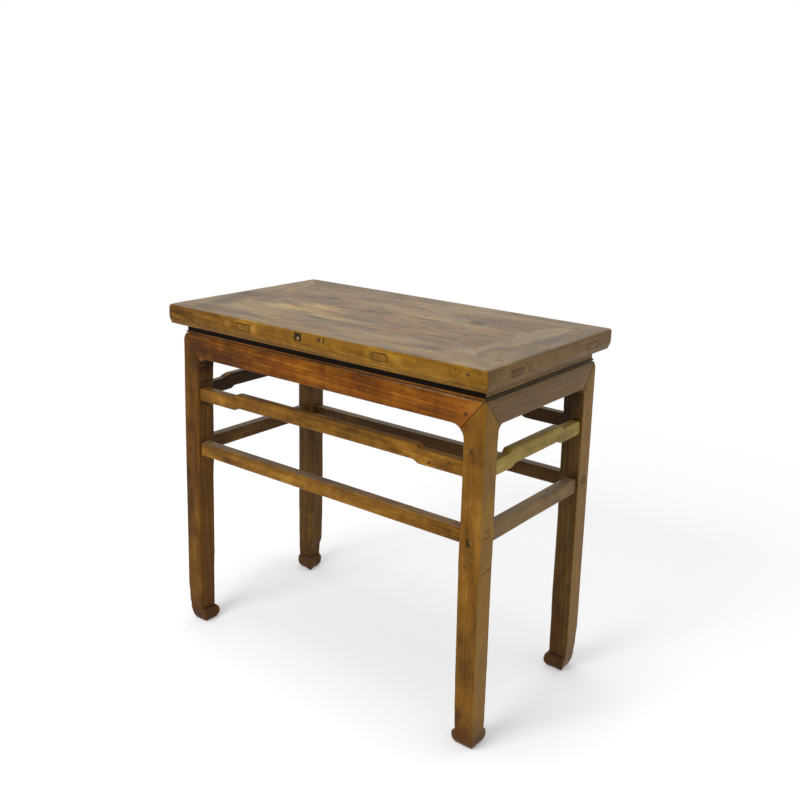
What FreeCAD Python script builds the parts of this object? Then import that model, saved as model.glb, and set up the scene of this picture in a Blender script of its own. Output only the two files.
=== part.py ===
import FreeCAD, Part
import math
import os

from FreeCAD import Vector

# A waisted side table in softwood: a framed top with a floating panel, a recessed
# waist, mitred aprons, humped upper stretchers, straight lower stretchers and
# four legs that end in horse-hoof feet. All lengths are millimetres.
# Origin: middle of the floor area, +X along the length, +Y to the back, +Z up.

# Overall size
table_length = 926.0
table_depth = 520.0
table_height = 840.0

# Top frame and its moulded edge
top_thickness = 48.0
front_rail_width = 132.0
back_rail_width = 117.0
end_rail_width = 119.0
edge_mitre_width = 12.0
top_edge_round = 3.0
edge_flat_height = 27.0
edge_curve_in = 3.6
edge_groove_in = 6.2
edge_groove_height = 1.4
edge_bead_in = 4.4
edge_bead_height = 5.8
edge_foot_in = 8.8

# Through tenons of the long rails, seen on the end faces
rail_tenon_width = 44.0
rail_tenon_height = 13.5
rail_tenon_setback = 2.0
rail_tenon_drop = 17.5

# Floating panel of two boards
panel_thickness = 12.0
panel_tongue = 8.0
panel_tongue_thickness = 5.0
panel_tongue_drop = 4.0
panel_groove_play = 2.0
panel_seam_offset = 6.0
seam_tongue = 4.0
seam_tongue_thickness = 3.0

# Battens under the panel, tenoned through the long rails
batten_end_distance = 144.0
batten_width = 46.0
batten_height = 28.0
batten_tenon_width = 38.0
batten_tenon_height = 15.0
ridge_height = 4.0
ridge_foot_width = 20.0
ridge_top_width = 24.0

# Legs
end_overhang = 20.0
front_overhang = 31.0
leg_width = 51.0
leg_taper = 4.8
leg_post_back = 1.0
leg_tenon_width = 7.0
leg_tenon_length = 14.0

# Horse-hoof feet: the outside turns in, a toe with a ledge turns to the middle
hoof_curve_height = 110.0
hoof_ankle_height = 28.0
hoof_ankle_in = 3.6
hoof_floor_in = 10.5
toe_ledge_height = 34.0
toe_lip_height = 30.5
toe_lip_reach = 5.5
toe_reach = 9.0
toe_floor_reach = 4.5
toe_belly_height = 19.0

# Aprons, mitred over the leg shoulders
apron_height = 57.0
apron_thickness = 22.0
apron_leaf = 5.4
front_mitre_land = 6.5
side_mitre_land = 5.5
front_corner_radius = 30.0
side_corner_radius = 15.0
apron_tenon_length = 20.0
apron_tenon_thickness = 8.0
apron_tenon_height = 34.0
apron_tenon_drop = 10.0
shoulder_round_in = 4.4
shoulder_round_height = 13.0

# Waist boards and the small moulding under them
waist_height = 20.0
waist_in = 7.0
waist_thickness = 10.0
waist_tongue_thickness = 4.0
waist_tongue = 3.0
waist_tongue_stop = 62.0
moulding_height = 6.0
moulding_in = 4.3
moulding_depth = 17.7
moulding_nose = 1.2
moulding_quirk_height = 1.5
moulding_quirk_in = 7.5
moulding_groove = 2.5

# Humped stretchers
hump_drop = 108.0
hump_thickness = 24.0
hump_face_in = 4.0
hump_section_height = 32.5
hump_top_rise = 8.0
hump_bottom_rise = 7.0
hump_top_step_length = 11.0
hump_bottom_step_length = 20.0
front_hump_step_back = 5.0
side_hump_step_back = 10.0
front_hump_end = 124.0
front_hump_offset = 4.0
side_hump_end = 81.0
side_hump_offset = 9.0
hump_tenon_length = 20.0
hump_tenon_thickness = 10.0
hump_tenon_height = 14.0
hump_tenon_lift = 4.0

# Straight lower stretchers with through tenons
lower_drop = 143.0
lower_section_height = 34.0
lower_thickness = 28.0
lower_face_in = 5.0
lower_tenon_height = 15.5
long_tenon_width = 18.0
side_tenon_width = 16.0

# Peg in the front apron and round plug in the front rail
peg_radius = 3.0
peg_length = 28.0
peg_leg_inset = 3.5
peg_drop = 32.0
plug_radius = 4.5
plug_length = 14.0
plug_offset = 28.0
plug_drop = 16.0

# How far cutting shapes run past what they cut
overrun = 5.0

half_length = table_length / 2
half_depth = table_depth / 2
leg_half_x = half_length - end_overhang
leg_half_y = half_depth - front_overhang
panel_half_x = half_length - end_rail_width
panel_front_y = front_rail_width - half_depth
panel_back_y = half_depth - back_rail_width
top_underside = table_height - top_thickness
apron_top = top_underside - waist_height - moulding_height
apron_bottom = apron_top - apron_height
hump_low_height = apron_bottom - hump_drop
lower_height = hump_low_height - lower_drop
batten_centre = panel_half_x - batten_end_distance
leg_ankle_width = leg_width - leg_taper
leg_post_width = leg_width - moulding_in - moulding_depth - leg_post_back
waist_bottom = apron_top + moulding_height


def box_between(low, high):
    """Box from its lowest corner to its highest corner."""
    size = [b - a for a, b in zip(low, high)]
    return Part.makeBox(size[0], size[1], size[2], Vector(*low))


def in_xz(y):
    """Place a flat point (across, up) on the plane at depth y."""
    return lambda point: Vector(point[0], y, point[1])


def in_yz(x):
    """Place a flat point (towards the front, up) on the plane at length x."""
    return lambda point: Vector(x, -point[0], point[1])


def in_xy(z):
    """Place a flat point on the level plane at height z."""
    return lambda point: Vector(point[0], point[1], z)


def arc_middle(start, end, direction):
    """Middle point of the arc that leaves start along direction and ends at end."""
    chord = (end[0] - start[0], end[1] - start[1])
    normal = (-direction[1], direction[0])
    across = chord[0] * normal[0] + chord[1] * normal[1]
    radius = (chord[0] ** 2 + chord[1] ** 2) / (2 * across)
    centre = (start[0] + normal[0] * radius, start[1] + normal[1] * radius)
    out = ((start[0] + end[0]) / 2 - centre[0], (start[1] + end[1]) / 2 - centre[1])
    reach = abs(radius) / math.hypot(*out)
    return (centre[0] + out[0] * reach, centre[1] + out[1] * reach)


def outline_face(place, start, steps):
    """Closed flat face. Each step is a point for a straight run, or a point,
    "leaving" or "arriving", and the arc's direction at its start or end."""
    edges = []
    here = start
    for step in list(steps) + [(start,)]:
        there = step[0]
        if len(step) == 1:
            edges.append(Part.LineSegment(place(here), place(there)).toShape())
        else:
            if step[1] == "leaving":
                middle = arc_middle(here, there, step[2])
            else:
                middle = arc_middle(there, here, (-step[2][0], -step[2][1]))
            edges.append(Part.Arc(place(here), place(middle), place(there)).toShape())
        here = there
    return Part.Face(Part.Wire(edges))


def polygon_prism(place, points, travel):
    """Prism of a straight-sided outline."""
    return outline_face(place, points[0], [(point,) for point in points[1:]]).extrude(travel)


def mirrored_x(shape):
    return shape.mirror(Vector(0, 0, 0), Vector(1, 0, 0))


def mirrored_y(shape):
    return shape.mirror(Vector(0, 0, 0), Vector(0, 1, 0))


def four_sides(front, right):
    """A front and a right-hand shape with their mirror copies."""
    return [front, mirrored_y(front), right, mirrored_x(right)]


def named_sides(name, front, right):
    """A front and a right-hand shape with their mirror copies, by node name."""
    sides = zip(("front", "back", "right", "left"), four_sides(front, right))
    return {name + "_" + side: shape for side, shape in sides}


def mitred_bar(low_in, high_in, low_z, high_z, front_side):
    """Bar along the front or the right side, between two distances in from the
    leg faces, mitred at both ends."""
    x_out, x_in = leg_half_x - low_in, leg_half_x - high_in
    y_out, y_in = leg_half_y - low_in, leg_half_y - high_in
    if front_side:
        points = [(-x_out, -y_out), (x_out, -y_out), (x_in, -y_in), (-x_in, -y_in)]
    else:
        points = [(x_out, -y_out), (x_out, y_out), (x_in, y_in), (x_in, -y_in)]
    return polygon_prism(in_xy(low_z), points, Vector(0, 0, high_z - low_z))


def edge_cutters(make_outline, half_x, half_y):
    """Cut an edge shape along all four sides of a rectangle. The outline is given
    by its distance in from the side and its height."""
    run_x = Vector(2 * (half_x + overrun), 0, 0)
    run_y = Vector(0, 2 * (half_y + overrun), 0)
    start_x, start_y = -half_x - overrun, -half_y - overrun
    front = make_outline(lambda p: Vector(start_x, p[0] - half_y, p[1])).extrude(run_x)
    right = make_outline(lambda p: Vector(half_x - p[0], start_y, p[1])).extrude(run_y)
    return four_sides(front, right)


def lower_edge_outline(place):
    """What the ogee-like lower edge of the top leaves away."""
    bead_top = top_underside + edge_bead_height
    groove_top = bead_top + edge_groove_height
    flat_bottom = table_height - edge_flat_height
    steps = [
        ((edge_foot_in, top_underside - overrun),),
        ((edge_foot_in, top_underside),),
        ((edge_bead_in, bead_top), "leaving", (-1, 0)),
        ((edge_groove_in, bead_top),),
        ((edge_groove_in, groove_top),),
        ((edge_curve_in, groove_top),),
        ((0, flat_bottom), "arriving", (0, 1)),
        ((-overrun, flat_bottom),),
    ]
    return outline_face(place, (-overrun, top_underside - overrun), steps)


def upper_edge_outline(place):
    """What the small round along the top edge leaves away."""
    steps = [
        ((-overrun, table_height - top_edge_round),),
        ((0, table_height - top_edge_round),),
        ((top_edge_round, table_height), "leaving", (0, 1)),
        ((top_edge_round, table_height + overrun),),
    ]
    return outline_face(place, (-overrun, table_height + overrun), steps)


def shoulder_outline(place):
    """What the worn round along the top of aprons and leg shoulders leaves away."""
    steps = [
        ((shoulder_round_in, apron_top + overrun),),
        ((shoulder_round_in, apron_top),),
        ((0, apron_top - shoulder_round_height), "arriving", (0, -1)),
        ((-overrun, apron_top - shoulder_round_height),),
    ]
    return outline_face(place, (-overrun, apron_top + overrun), steps)


def top_envelope():
    """The whole top as one block with its moulded edge."""
    low = (-half_length, -half_depth, top_underside)
    block = box_between(low, (half_length, half_depth, table_height))
    cutters = edge_cutters(lower_edge_outline, half_length, half_depth)
    cutters += edge_cutters(upper_edge_outline, half_length, half_depth)
    return block.cut(cutters)


def rail_region(side):
    """Mitred outline of the front, back or right-hand frame rail, full height.
    The mitre crosses the moulded edge at 45 degrees, then runs to the inner corner."""
    edge_x, edge_y = half_length - edge_mitre_width, half_depth - edge_mitre_width
    front_mitre = [(half_length, -half_depth), (edge_x, -edge_y), (panel_half_x, panel_front_y)]
    back_mitre = [(half_length, half_depth), (edge_x, edge_y), (panel_half_x, panel_back_y)]
    if side == "right":
        points = front_mitre + back_mitre[::-1]
    else:
        mitre = front_mitre if side == "front" else back_mitre
        points = mitre + [(-x, y) for x, y in mitre[::-1]]
    return polygon_prism(in_xy(top_underside), points, Vector(0, 0, top_thickness))


def rail_tenon_box(front_side):
    """Tenon of the front or back rail through the right-hand end rail."""
    y0 = panel_front_y - rail_tenon_setback - rail_tenon_width
    if not front_side:
        y0 = panel_back_y + rail_tenon_setback
    z0 = table_height - rail_tenon_drop - rail_tenon_height
    high = (half_length, y0 + rail_tenon_width, z0 + rail_tenon_height)
    return box_between((panel_half_x, y0, z0), high)


def batten_tenon_box():
    """Through tenons of the right-hand batten as one long bar."""
    x0 = batten_centre - batten_tenon_width / 2
    z_top = table_height - panel_thickness
    low = (x0, -half_depth, z_top - batten_tenon_height)
    return box_between(low, (x0 + batten_tenon_width, half_depth, z_top))


def panel_groove_space():
    """Groove round the inside of the frame for the panel's tongues."""
    reach = panel_tongue + panel_groove_play
    z_top = table_height - panel_tongue_drop
    low = (-panel_half_x - reach, panel_front_y - reach, z_top - panel_tongue_thickness)
    return box_between(low, (panel_half_x + reach, panel_back_y + reach, z_top))


def tongue_run(low_in, high_in, low_z, high_z, front_side):
    """Straight tongue between the leg posts on one side."""
    x_stop, y_stop = leg_half_x - waist_tongue_stop, leg_half_y - waist_tongue_stop
    if front_side:
        low = (-x_stop, low_in - leg_half_y, low_z)
        return box_between(low, (x_stop, high_in - leg_half_y, high_z))
    low = (leg_half_x - high_in, -y_stop, low_z)
    return box_between(low, (leg_half_x - low_in, y_stop, high_z))


def waist_tongue_edges():
    """Distances in from the leg face of the tongues on a waist board."""
    middle = waist_in + waist_thickness / 2
    return middle - waist_tongue_thickness / 2, middle + waist_tongue_thickness / 2


def upper_tongue(front_side):
    """Tongue of a waist board that enters the top frame."""
    low_in, high_in = waist_tongue_edges()
    high_z = top_underside + waist_tongue
    return tongue_run(low_in, high_in, top_underside, high_z, front_side)


def lower_tongue(front_side):
    """Tongue of a waist board that enters the moulding."""
    low_in, high_in = waist_tongue_edges()
    low_z = waist_bottom - moulding_groove
    return tongue_run(low_in, high_in, low_z, waist_bottom, front_side)


def moulding_tongue(front_side):
    """Tongue of a moulding that enters the top edge of an apron."""
    low_in, high_in = waist_tongue_edges()
    low_z = apron_top - waist_tongue
    return tongue_run(low_in, high_in, low_z, apron_top, front_side)


def leg_post():
    """Square post of the front right leg behind the waist."""
    inset = moulding_in + moulding_depth
    x1, y0 = leg_half_x - inset, inset - leg_half_y
    low = (x1 - leg_post_width, y0, apron_top)
    return box_between(low, (x1, y0 + leg_post_width, top_underside))


def leg_top_tenons():
    """Two small tenons of the front right leg, one in each rail of the corner."""
    inset = moulding_in + moulding_depth
    x1, y0 = leg_half_x - inset, inset - leg_half_y
    x0, y1 = x1 - leg_post_width, y0 + leg_post_width
    top = top_underside + leg_tenon_length
    high = (x0 + leg_tenon_width, y0 + leg_tenon_width, top)
    in_front_rail = box_between((x0, y0, top_underside), high)
    low = (x1 - leg_tenon_width, y1 - leg_tenon_width, top_underside)
    in_end_rail = box_between(low, (x1, y1, top))
    return in_front_rail, in_end_rail


def plug_shape():
    """Round plug in the face of the front rail."""
    place = Vector(-plug_offset, -half_depth, table_height - plug_drop)
    return Part.makeCylinder(plug_radius, plug_length, place, Vector(0, 1, 0))


def long_rail(envelope, front_side):
    """Front or back rail with its through tenons and its grooves and mortises."""
    rail_tenon = rail_tenon_box(front_side).common(envelope)
    post_tenon = leg_top_tenons()[0]
    tongue = upper_tongue(True)
    if not front_side:
        post_tenon, tongue = mirrored_y(post_tenon), mirrored_y(tongue)
    cuts = [batten_tenon_box(), mirrored_x(batten_tenon_box()), panel_groove_space()]
    cuts += [tongue, post_tenon, mirrored_x(post_tenon)]
    rail = envelope.common(rail_region("front" if front_side else "back")).cut(cuts)
    return rail.fuse([rail_tenon, mirrored_x(rail_tenon)]).removeSplitter()


def top_frame():
    """Four frame rails and the plug in the front one."""
    envelope = top_envelope()
    front = long_rail(envelope, True)
    post_tenon = leg_top_tenons()[1]
    cuts = [rail_tenon_box(True), rail_tenon_box(False), panel_groove_space()]
    cuts += [upper_tongue(False), post_tenon, mirrored_y(post_tenon)]
    right = envelope.common(rail_region("right")).cut(cuts)
    return {
        "top_rail_front": front.cut(plug_shape()),
        "top_rail_back": long_rail(envelope, False),
        "top_rail_right": right,
        "top_rail_left": mirrored_x(right),
        "rail_plug": plug_shape(),
    }


def batten_ridge():
    """Dovetail ridge along the right-hand batten, let into the panel from below."""
    foot, head = ridge_foot_width / 2, ridge_top_width / 2
    z0 = table_height - panel_thickness
    z1 = z0 + ridge_height
    points = [(batten_centre - foot, z0), (batten_centre + foot, z0)]
    points += [(batten_centre + head, z1), (batten_centre - head, z1)]
    return polygon_prism(in_xz(panel_front_y), points, Vector(0, panel_back_y - panel_front_y, 0))


def battens():
    """Right-hand batten with its ridge and through tenons, and its mirror copy."""
    z_top = table_height - panel_thickness
    low = (batten_centre - batten_width / 2, panel_front_y, z_top - batten_height)
    body = box_between(low, (batten_centre + batten_width / 2, panel_back_y, z_top))
    tenons = batten_tenon_box().common(top_envelope())
    batten = body.fuse([tenons, batten_ridge()]).removeSplitter()
    return {"batten_right": batten, "batten_left": mirrored_x(batten)}


def panel_boards():
    """Two boards, tongued together and tongued into the frame all round."""
    z0 = table_height - panel_thickness
    tongue_top = table_height - panel_tongue_drop
    tongue_bottom = tongue_top - panel_tongue_thickness
    out_x = panel_half_x + panel_tongue
    front_y, back_y = panel_front_y - panel_tongue, panel_back_y + panel_tongue
    seam = panel_seam_offset
    ridges = [batten_ridge(), mirrored_x(batten_ridge())]
    seam_z = tongue_top - (panel_tongue_thickness - seam_tongue_thickness) / 2
    seam_low = (-panel_half_x, seam, seam_z - seam_tongue_thickness)
    seam_key = box_between(seam_low, (panel_half_x, seam + seam_tongue, seam_z))

    front = box_between((-panel_half_x, panel_front_y, z0), (panel_half_x, seam, table_height))
    front_tongue = box_between((-out_x, front_y, tongue_bottom), (out_x, seam, tongue_top))
    back = box_between((-panel_half_x, seam, z0), (panel_half_x, panel_back_y, table_height))
    back_tongue = box_between((-out_x, seam, tongue_bottom), (out_x, back_y, tongue_top))
    return {
        "panel_board_front": front.fuse([front_tongue, seam_key]).removeSplitter().cut(ridges),
        "panel_board_back": back.fuse(back_tongue).removeSplitter().cut([seam_key] + ridges),
    }


def leg_profile(place):
    """Side view of a leg: distance in from its outer face, and height."""
    ledge_in = leg_ankle_width
    steps = [
        ((0, hoof_curve_height),),
        ((hoof_ankle_in, hoof_ankle_height), "leaving", (0, -1)),
        ((hoof_floor_in, 0), "leaving", hoof_slope()),
        ((ledge_in + toe_floor_reach, 0),),
        ((ledge_in + toe_reach, toe_belly_height), "arriving", (0, 1)),
        ((ledge_in + toe_lip_reach, toe_lip_height), "leaving", (0, 1)),
        ((ledge_in, toe_ledge_height),),
        ((leg_width, apron_bottom),),
        ((leg_width, apron_top),),
    ]
    return outline_face(place, (0, apron_top), steps)


def hoof_slope():
    """Direction of the hoof's outer curve at the ankle, for a smooth run on."""
    drop = hoof_curve_height - hoof_ankle_height
    turn = 2 * math.atan2(hoof_ankle_in, drop)
    return (math.sin(turn), -math.cos(turn))


def leg_column():
    """Front right leg below the apron's top, square in plan, before its joints."""
    widest = leg_width + toe_reach
    seen_from_front = leg_profile(lambda p: Vector(leg_half_x - p[0], -leg_half_y, p[1]))
    seen_from_side = leg_profile(lambda p: Vector(leg_half_x, p[0] - leg_half_y, p[1]))
    along_y = seen_from_front.extrude(Vector(0, widest, 0))
    along_x = seen_from_side.extrude(Vector(-widest, 0, 0))
    return along_y.common(along_x)


def corner_web_face(place, leg_half, radius):
    """Rounded corner between the leg's inner edge and the apron's lower edge."""
    inner = leg_half - leg_width
    steps = [
        ((inner, apron_bottom),),
        ((inner - radius, apron_bottom),),
        ((inner, apron_bottom - radius), "leaving", (1, 0)),
        ((inner + overrun, apron_bottom - radius),),
    ]
    return outline_face(place, (inner + overrun, apron_bottom), steps)


def mitre_points(leg_half, land, radius):
    """Upper and lower end of the mitre on a leg's face."""
    inner = leg_half - leg_width
    diagonal = math.sqrt(1 / 2)
    low = (inner - radius + radius * diagonal, apron_bottom - radius + radius * diagonal)
    return (leg_half - land, apron_top), low


def inside_mitre(place, leg_half, land, radius, travel):
    """Region on the apron's side of the mitre, from the middle to the right."""
    top, low = mitre_points(leg_half, land, radius)
    lean = (top[0] - low[0]) / (top[1] - low[1])
    z_low = apron_bottom - radius - overrun
    z_high = apron_top + overrun
    x_low = low[0] - (low[1] - z_low) * lean
    x_high = top[0] + (z_high - top[1]) * lean
    points = [(0, z_low), (x_low, z_low), (x_high, z_high), (0, z_high)]
    return polygon_prism(place, points, travel)


def side_values(front_side):
    """Half span, mitre land and corner radius of the front or the right side."""
    if front_side:
        return leg_half_x, front_mitre_land, front_corner_radius
    return leg_half_y, side_mitre_land, side_corner_radius


def side_place(front_side, depth):
    """Plane of the front or the right side, set in by depth from the leg face."""
    if front_side:
        return in_xz(depth - leg_half_y)
    return in_yz(leg_half_x - depth)


def side_travel(front_side, depth):
    """Travel inwards from a side by depth."""
    if front_side:
        return Vector(0, depth, 0)
    return Vector(-depth, 0, 0)


def leg_body():
    """Front right leg with the rounded corners of its shoulders, cut back in front
    for the leaves of the aprons, before its mortises."""
    webs = []
    leaves = []
    for front_side in (True, False):
        leg_half, land, radius = side_values(front_side)
        travel = side_travel(front_side, apron_leaf)
        place = side_place(front_side, 0)
        webs.append(corner_web_face(place, leg_half, radius).extrude(travel))
        leaves.append(inside_mitre(place, leg_half, land, radius, travel))
    return leg_column().fuse(webs).removeSplitter().cut(leaves)


def half_apron(front_side):
    """Right half of an apron: its body up to the leg and its leaf over the leg."""
    leg_half, land, radius = side_values(front_side)
    place = side_place(front_side, 0)
    inner = leg_half - leg_width
    points = [(0, apron_bottom), (inner, apron_bottom), (inner, apron_top), (0, apron_top)]
    travel = side_travel(front_side, apron_thickness)
    body = polygon_prism(place, points, travel)
    body = body.fuse(corner_web_face(place, leg_half, radius).extrude(travel))
    travel = side_travel(front_side, apron_leaf)
    points = [(0, apron_bottom), (leg_half, apron_bottom), (leg_half, apron_top), (0, apron_top)]
    leaf = polygon_prism(place, points, travel)
    leaf = leaf.common(inside_mitre(place, leg_half, land, radius, travel))
    return body.fuse(leaf).cut(leg_body())


def apron_tenon_box(front_side):
    """Tenon at the right-hand end of an apron."""
    leg_half = side_values(front_side)[0]
    behind_leaf = (apron_leaf + apron_thickness - apron_tenon_thickness) / 2
    inner = leg_half - leg_width
    reach = inner + apron_tenon_length
    z1 = apron_top - apron_tenon_drop
    z0 = z1 - apron_tenon_height
    points = [(inner, z0), (reach, z0), (reach, z1), (inner, z1)]
    place = side_place(front_side, behind_leaf)
    return polygon_prism(place, points, side_travel(front_side, apron_tenon_thickness))


def apron(front_side):
    """A whole apron: body between the legs, leaves over the shoulders, tenons."""
    half = half_apron(front_side).fuse(apron_tenon_box(front_side))
    other = mirrored_x(half) if front_side else mirrored_y(half)
    whole = half.fuse(other).removeSplitter()
    cutters = edge_cutters(shoulder_outline, leg_half_x, leg_half_y)
    return whole.cut(cutters).cut(moulding_tongue(front_side))


def peg_shape():
    """Peg through the front apron's right-hand tenon."""
    x = leg_half_x - leg_width + peg_leg_inset
    place = Vector(x, -leg_half_y, apron_top - peg_drop)
    return Part.makeCylinder(peg_radius, peg_length, place, Vector(0, 1, 0))


def aprons():
    shapes = named_sides("apron", apron(True), apron(False))
    shapes["apron_front"] = shapes["apron_front"].cut(peg_shape())
    shapes["apron_peg"] = peg_shape()
    return shapes


def lower_tenon_box(front_side):
    """Through tenon of a lower stretcher in the front right leg: the long
    stretchers pass in the upper half, the side stretchers in the lower half."""
    leg_half = side_values(front_side)[0]
    width = long_tenon_width if front_side else side_tenon_width
    depth = lower_face_in + lower_thickness - width
    z0 = lower_height
    if front_side:
        z0 = lower_height + lower_section_height - lower_tenon_height
    z1 = z0 + lower_tenon_height
    points = [(leg_half - leg_width, z0), (leg_half, z0), (leg_half, z1), (leg_half - leg_width, z1)]
    return polygon_prism(side_place(front_side, depth), points, side_travel(front_side, width))


def hump_tenon_box(front_side):
    """Blind tenon of a humped stretcher in the front right leg."""
    leg_half = side_values(front_side)[0]
    depth = hump_face_in + (hump_thickness - hump_tenon_thickness) / 2
    z0 = hump_low_height + hump_tenon_lift
    z1 = z0 + hump_tenon_height
    inner = leg_half - leg_width
    reach = inner + hump_tenon_length
    points = [(inner, z0), (reach, z0), (reach, z1), (inner, z1)]
    place = side_place(front_side, depth)
    return polygon_prism(place, points, side_travel(front_side, hump_tenon_thickness))


def leg():
    """Front right leg with its shoulders, post, tenons and mortises."""
    mortises = []
    for front_side in (True, False):
        mortises.append(lower_tenon_box(front_side))
        mortises.append(hump_tenon_box(front_side))
        mortises.append(apron_tenon_box(front_side))
    body = leg_body().cut(mortises)
    body = body.cut(edge_cutters(shoulder_outline, leg_half_x, leg_half_y))
    top_parts = [leg_post()] + list(leg_top_tenons())
    return body.fuse(top_parts).removeSplitter()


def legs():
    front_right = leg()
    front_left = mirrored_x(front_right)
    return {
        "leg_front_right": front_right.cut(peg_shape()),
        "leg_front_left": front_left,
        "leg_back_right": mirrored_y(front_right),
        "leg_back_left": mirrored_y(front_left),
    }


def waist_board(front_side):
    """Recessed board between the moulding and the top frame."""
    high_in = waist_in + waist_thickness
    board = mitred_bar(waist_in, high_in, waist_bottom, top_underside, front_side)
    return board.fuse([upper_tongue(front_side), lower_tongue(front_side)]).removeSplitter()


def moulding(front_side):
    """Small moulding with a rounded nose and a shadow line under it."""
    inner = moulding_in + moulding_depth
    nose_in = moulding_in + moulding_nose
    nose_bottom = apron_top + moulding_quirk_height
    nose_middle = (nose_bottom + waist_bottom) / 2
    bar = mitred_bar(moulding_in, inner, apron_top, waist_bottom, front_side)
    run = 2 * (leg_half_x + overrun) if front_side else 2 * (leg_half_y + overrun)
    steps = [
        ((moulding_quirk_in, apron_top - overrun),),
        ((moulding_quirk_in, nose_bottom),),
        ((nose_in, nose_bottom),),
        ((moulding_in, nose_middle), "arriving", (0, 1)),
        ((nose_in, waist_bottom), "leaving", (0, 1)),
        ((nose_in, waist_bottom + overrun),),
        ((moulding_in - overrun, waist_bottom + overrun),),
    ]
    if front_side:
        place = lambda p: Vector(-run / 2, p[0] - leg_half_y, p[1])
        travel = Vector(run, 0, 0)
    else:
        place = lambda p: Vector(leg_half_x - p[0], -run / 2, p[1])
        travel = Vector(0, run, 0)
    cutter = outline_face(place, (moulding_in - overrun, apron_top - overrun), steps).extrude(travel)
    quirk = [cutter, corner_quirk(front_side), end_nose(front_side)]
    shape = bar.cut(quirk).cut(lower_tongue(front_side))
    return shape.fuse(moulding_tongue(front_side)).removeSplitter()


def corner_quirk(front_side):
    """Shadow line of the moulding carried round both mitred ends."""
    z_top = apron_top + moulding_quirk_height
    outer = mitred_bar(-overrun, moulding_quirk_in, apron_top, z_top, not front_side)
    other = mirrored_x(outer) if front_side else mirrored_y(outer)
    return outer.fuse(other)


def end_nose(front_side):
    """Rounded nose of the neighbouring mouldings, carried past the mitres."""
    z_top = apron_top + moulding_quirk_height
    outer = mitred_bar(-overrun, moulding_in, z_top, waist_bottom, not front_side)
    other = mirrored_x(outer) if front_side else mirrored_y(outer)
    return outer.fuse(other)


def waist():
    shapes = {}
    for name, make in (("waist_board", waist_board), ("waist_moulding", moulding)):
        shapes.update(named_sides(name, make(True), make(False)))
    return shapes


def hump_face(place, leg_half, half, offset, step_back):
    """Face of a humped stretcher: low ends, raised middle, curved steps."""
    low = hump_low_height
    low_top = low + hump_section_height
    high, high_top = low + hump_bottom_rise, low_top + hump_top_rise
    mid_low, mid_top = (low + high) / 2, (low_top + high_top) / 2
    under, over = hump_bottom_step_length / 2, hump_top_step_length / 2
    left, right = offset - half, offset + half
    top_left, top_right = left - step_back, right + step_back
    steps = [
        ((left - under, low),),
        ((left, mid_low), "leaving", (1, 0)),
        ((left + under, high), "arriving", (1, 0)),
        ((right - under, high),),
        ((right, mid_low), "leaving", (1, 0)),
        ((right + under, low), "arriving", (1, 0)),
        ((leg_half, low),),
        ((leg_half, low_top),),
        ((top_right + over, low_top),),
        ((top_right, mid_top), "leaving", (-1, 0)),
        ((top_right - over, high_top), "arriving", (-1, 0)),
        ((top_left + over, high_top),),
        ((top_left, mid_top), "leaving", (-1, 0)),
        ((top_left - over, low_top), "arriving", (-1, 0)),
        ((-leg_half, low_top),),
    ]
    return outline_face(place, (-leg_half, low), steps)


def fitted_between_legs(blank, front_side):
    """Trim a stretcher blank to the legs' inner faces and set in its tenons."""
    column = leg_column()
    if front_side:
        return blank.cut([column, mirrored_x(column)])
    return blank.cut([column, mirrored_y(column)])


def hump_stretcher(front_side):
    leg_half = side_values(front_side)[0]
    end, offset, step_back = side_hump_end, side_hump_offset, side_hump_step_back
    if front_side:
        end, offset, step_back = front_hump_end, front_hump_offset, front_hump_step_back
    place = side_place(front_side, hump_face_in)
    face = hump_face(place, leg_half, leg_half - leg_width - end, offset, step_back)
    blank = face.extrude(side_travel(front_side, hump_thickness))
    body = fitted_between_legs(blank, front_side)
    tenon = hump_tenon_box(front_side)
    other = mirrored_x(tenon) if front_side else mirrored_y(tenon)
    return body.fuse([tenon, other]).removeSplitter()


def lower_stretcher(front_side):
    leg_half = side_values(front_side)[0]
    z1 = lower_height + lower_section_height
    points = [(-leg_half, lower_height), (leg_half, lower_height), (leg_half, z1), (-leg_half, z1)]
    place = side_place(front_side, lower_face_in)
    blank = polygon_prism(place, points, side_travel(front_side, lower_thickness))
    body = fitted_between_legs(blank, front_side)
    tenon = lower_tenon_box(front_side)
    other = mirrored_x(tenon) if front_side else mirrored_y(tenon)
    return body.fuse([tenon, other]).removeSplitter()


def stretchers():
    """Humped and straight stretchers on all four sides."""
    shapes = {}
    for name, make in (("hump_stretcher", hump_stretcher), ("lower_stretcher", lower_stretcher)):
        shapes.update(named_sides(name, make(True), make(False)))
    return shapes


def main():
    os.makedirs("parts", exist_ok=True)
    shapes = {}
    for make in (top_frame, battens, panel_boards, waist, aprons, legs, stretchers):
        shapes.update(make())
    for name, shape in shapes.items():
        solids = shape.Solids
        print(name, len(solids), shape.isValid(), round(shape.Volume))
        out = solids[0] if len(solids) == 1 else shape
        out.exportStep("parts/" + name + ".step")


main()
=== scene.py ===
import itertools
import math

import bmesh
import bpy
import numpy as np
from mathutils import Matrix, Vector
from mathutils.bvhtree import BVHTree


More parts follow.
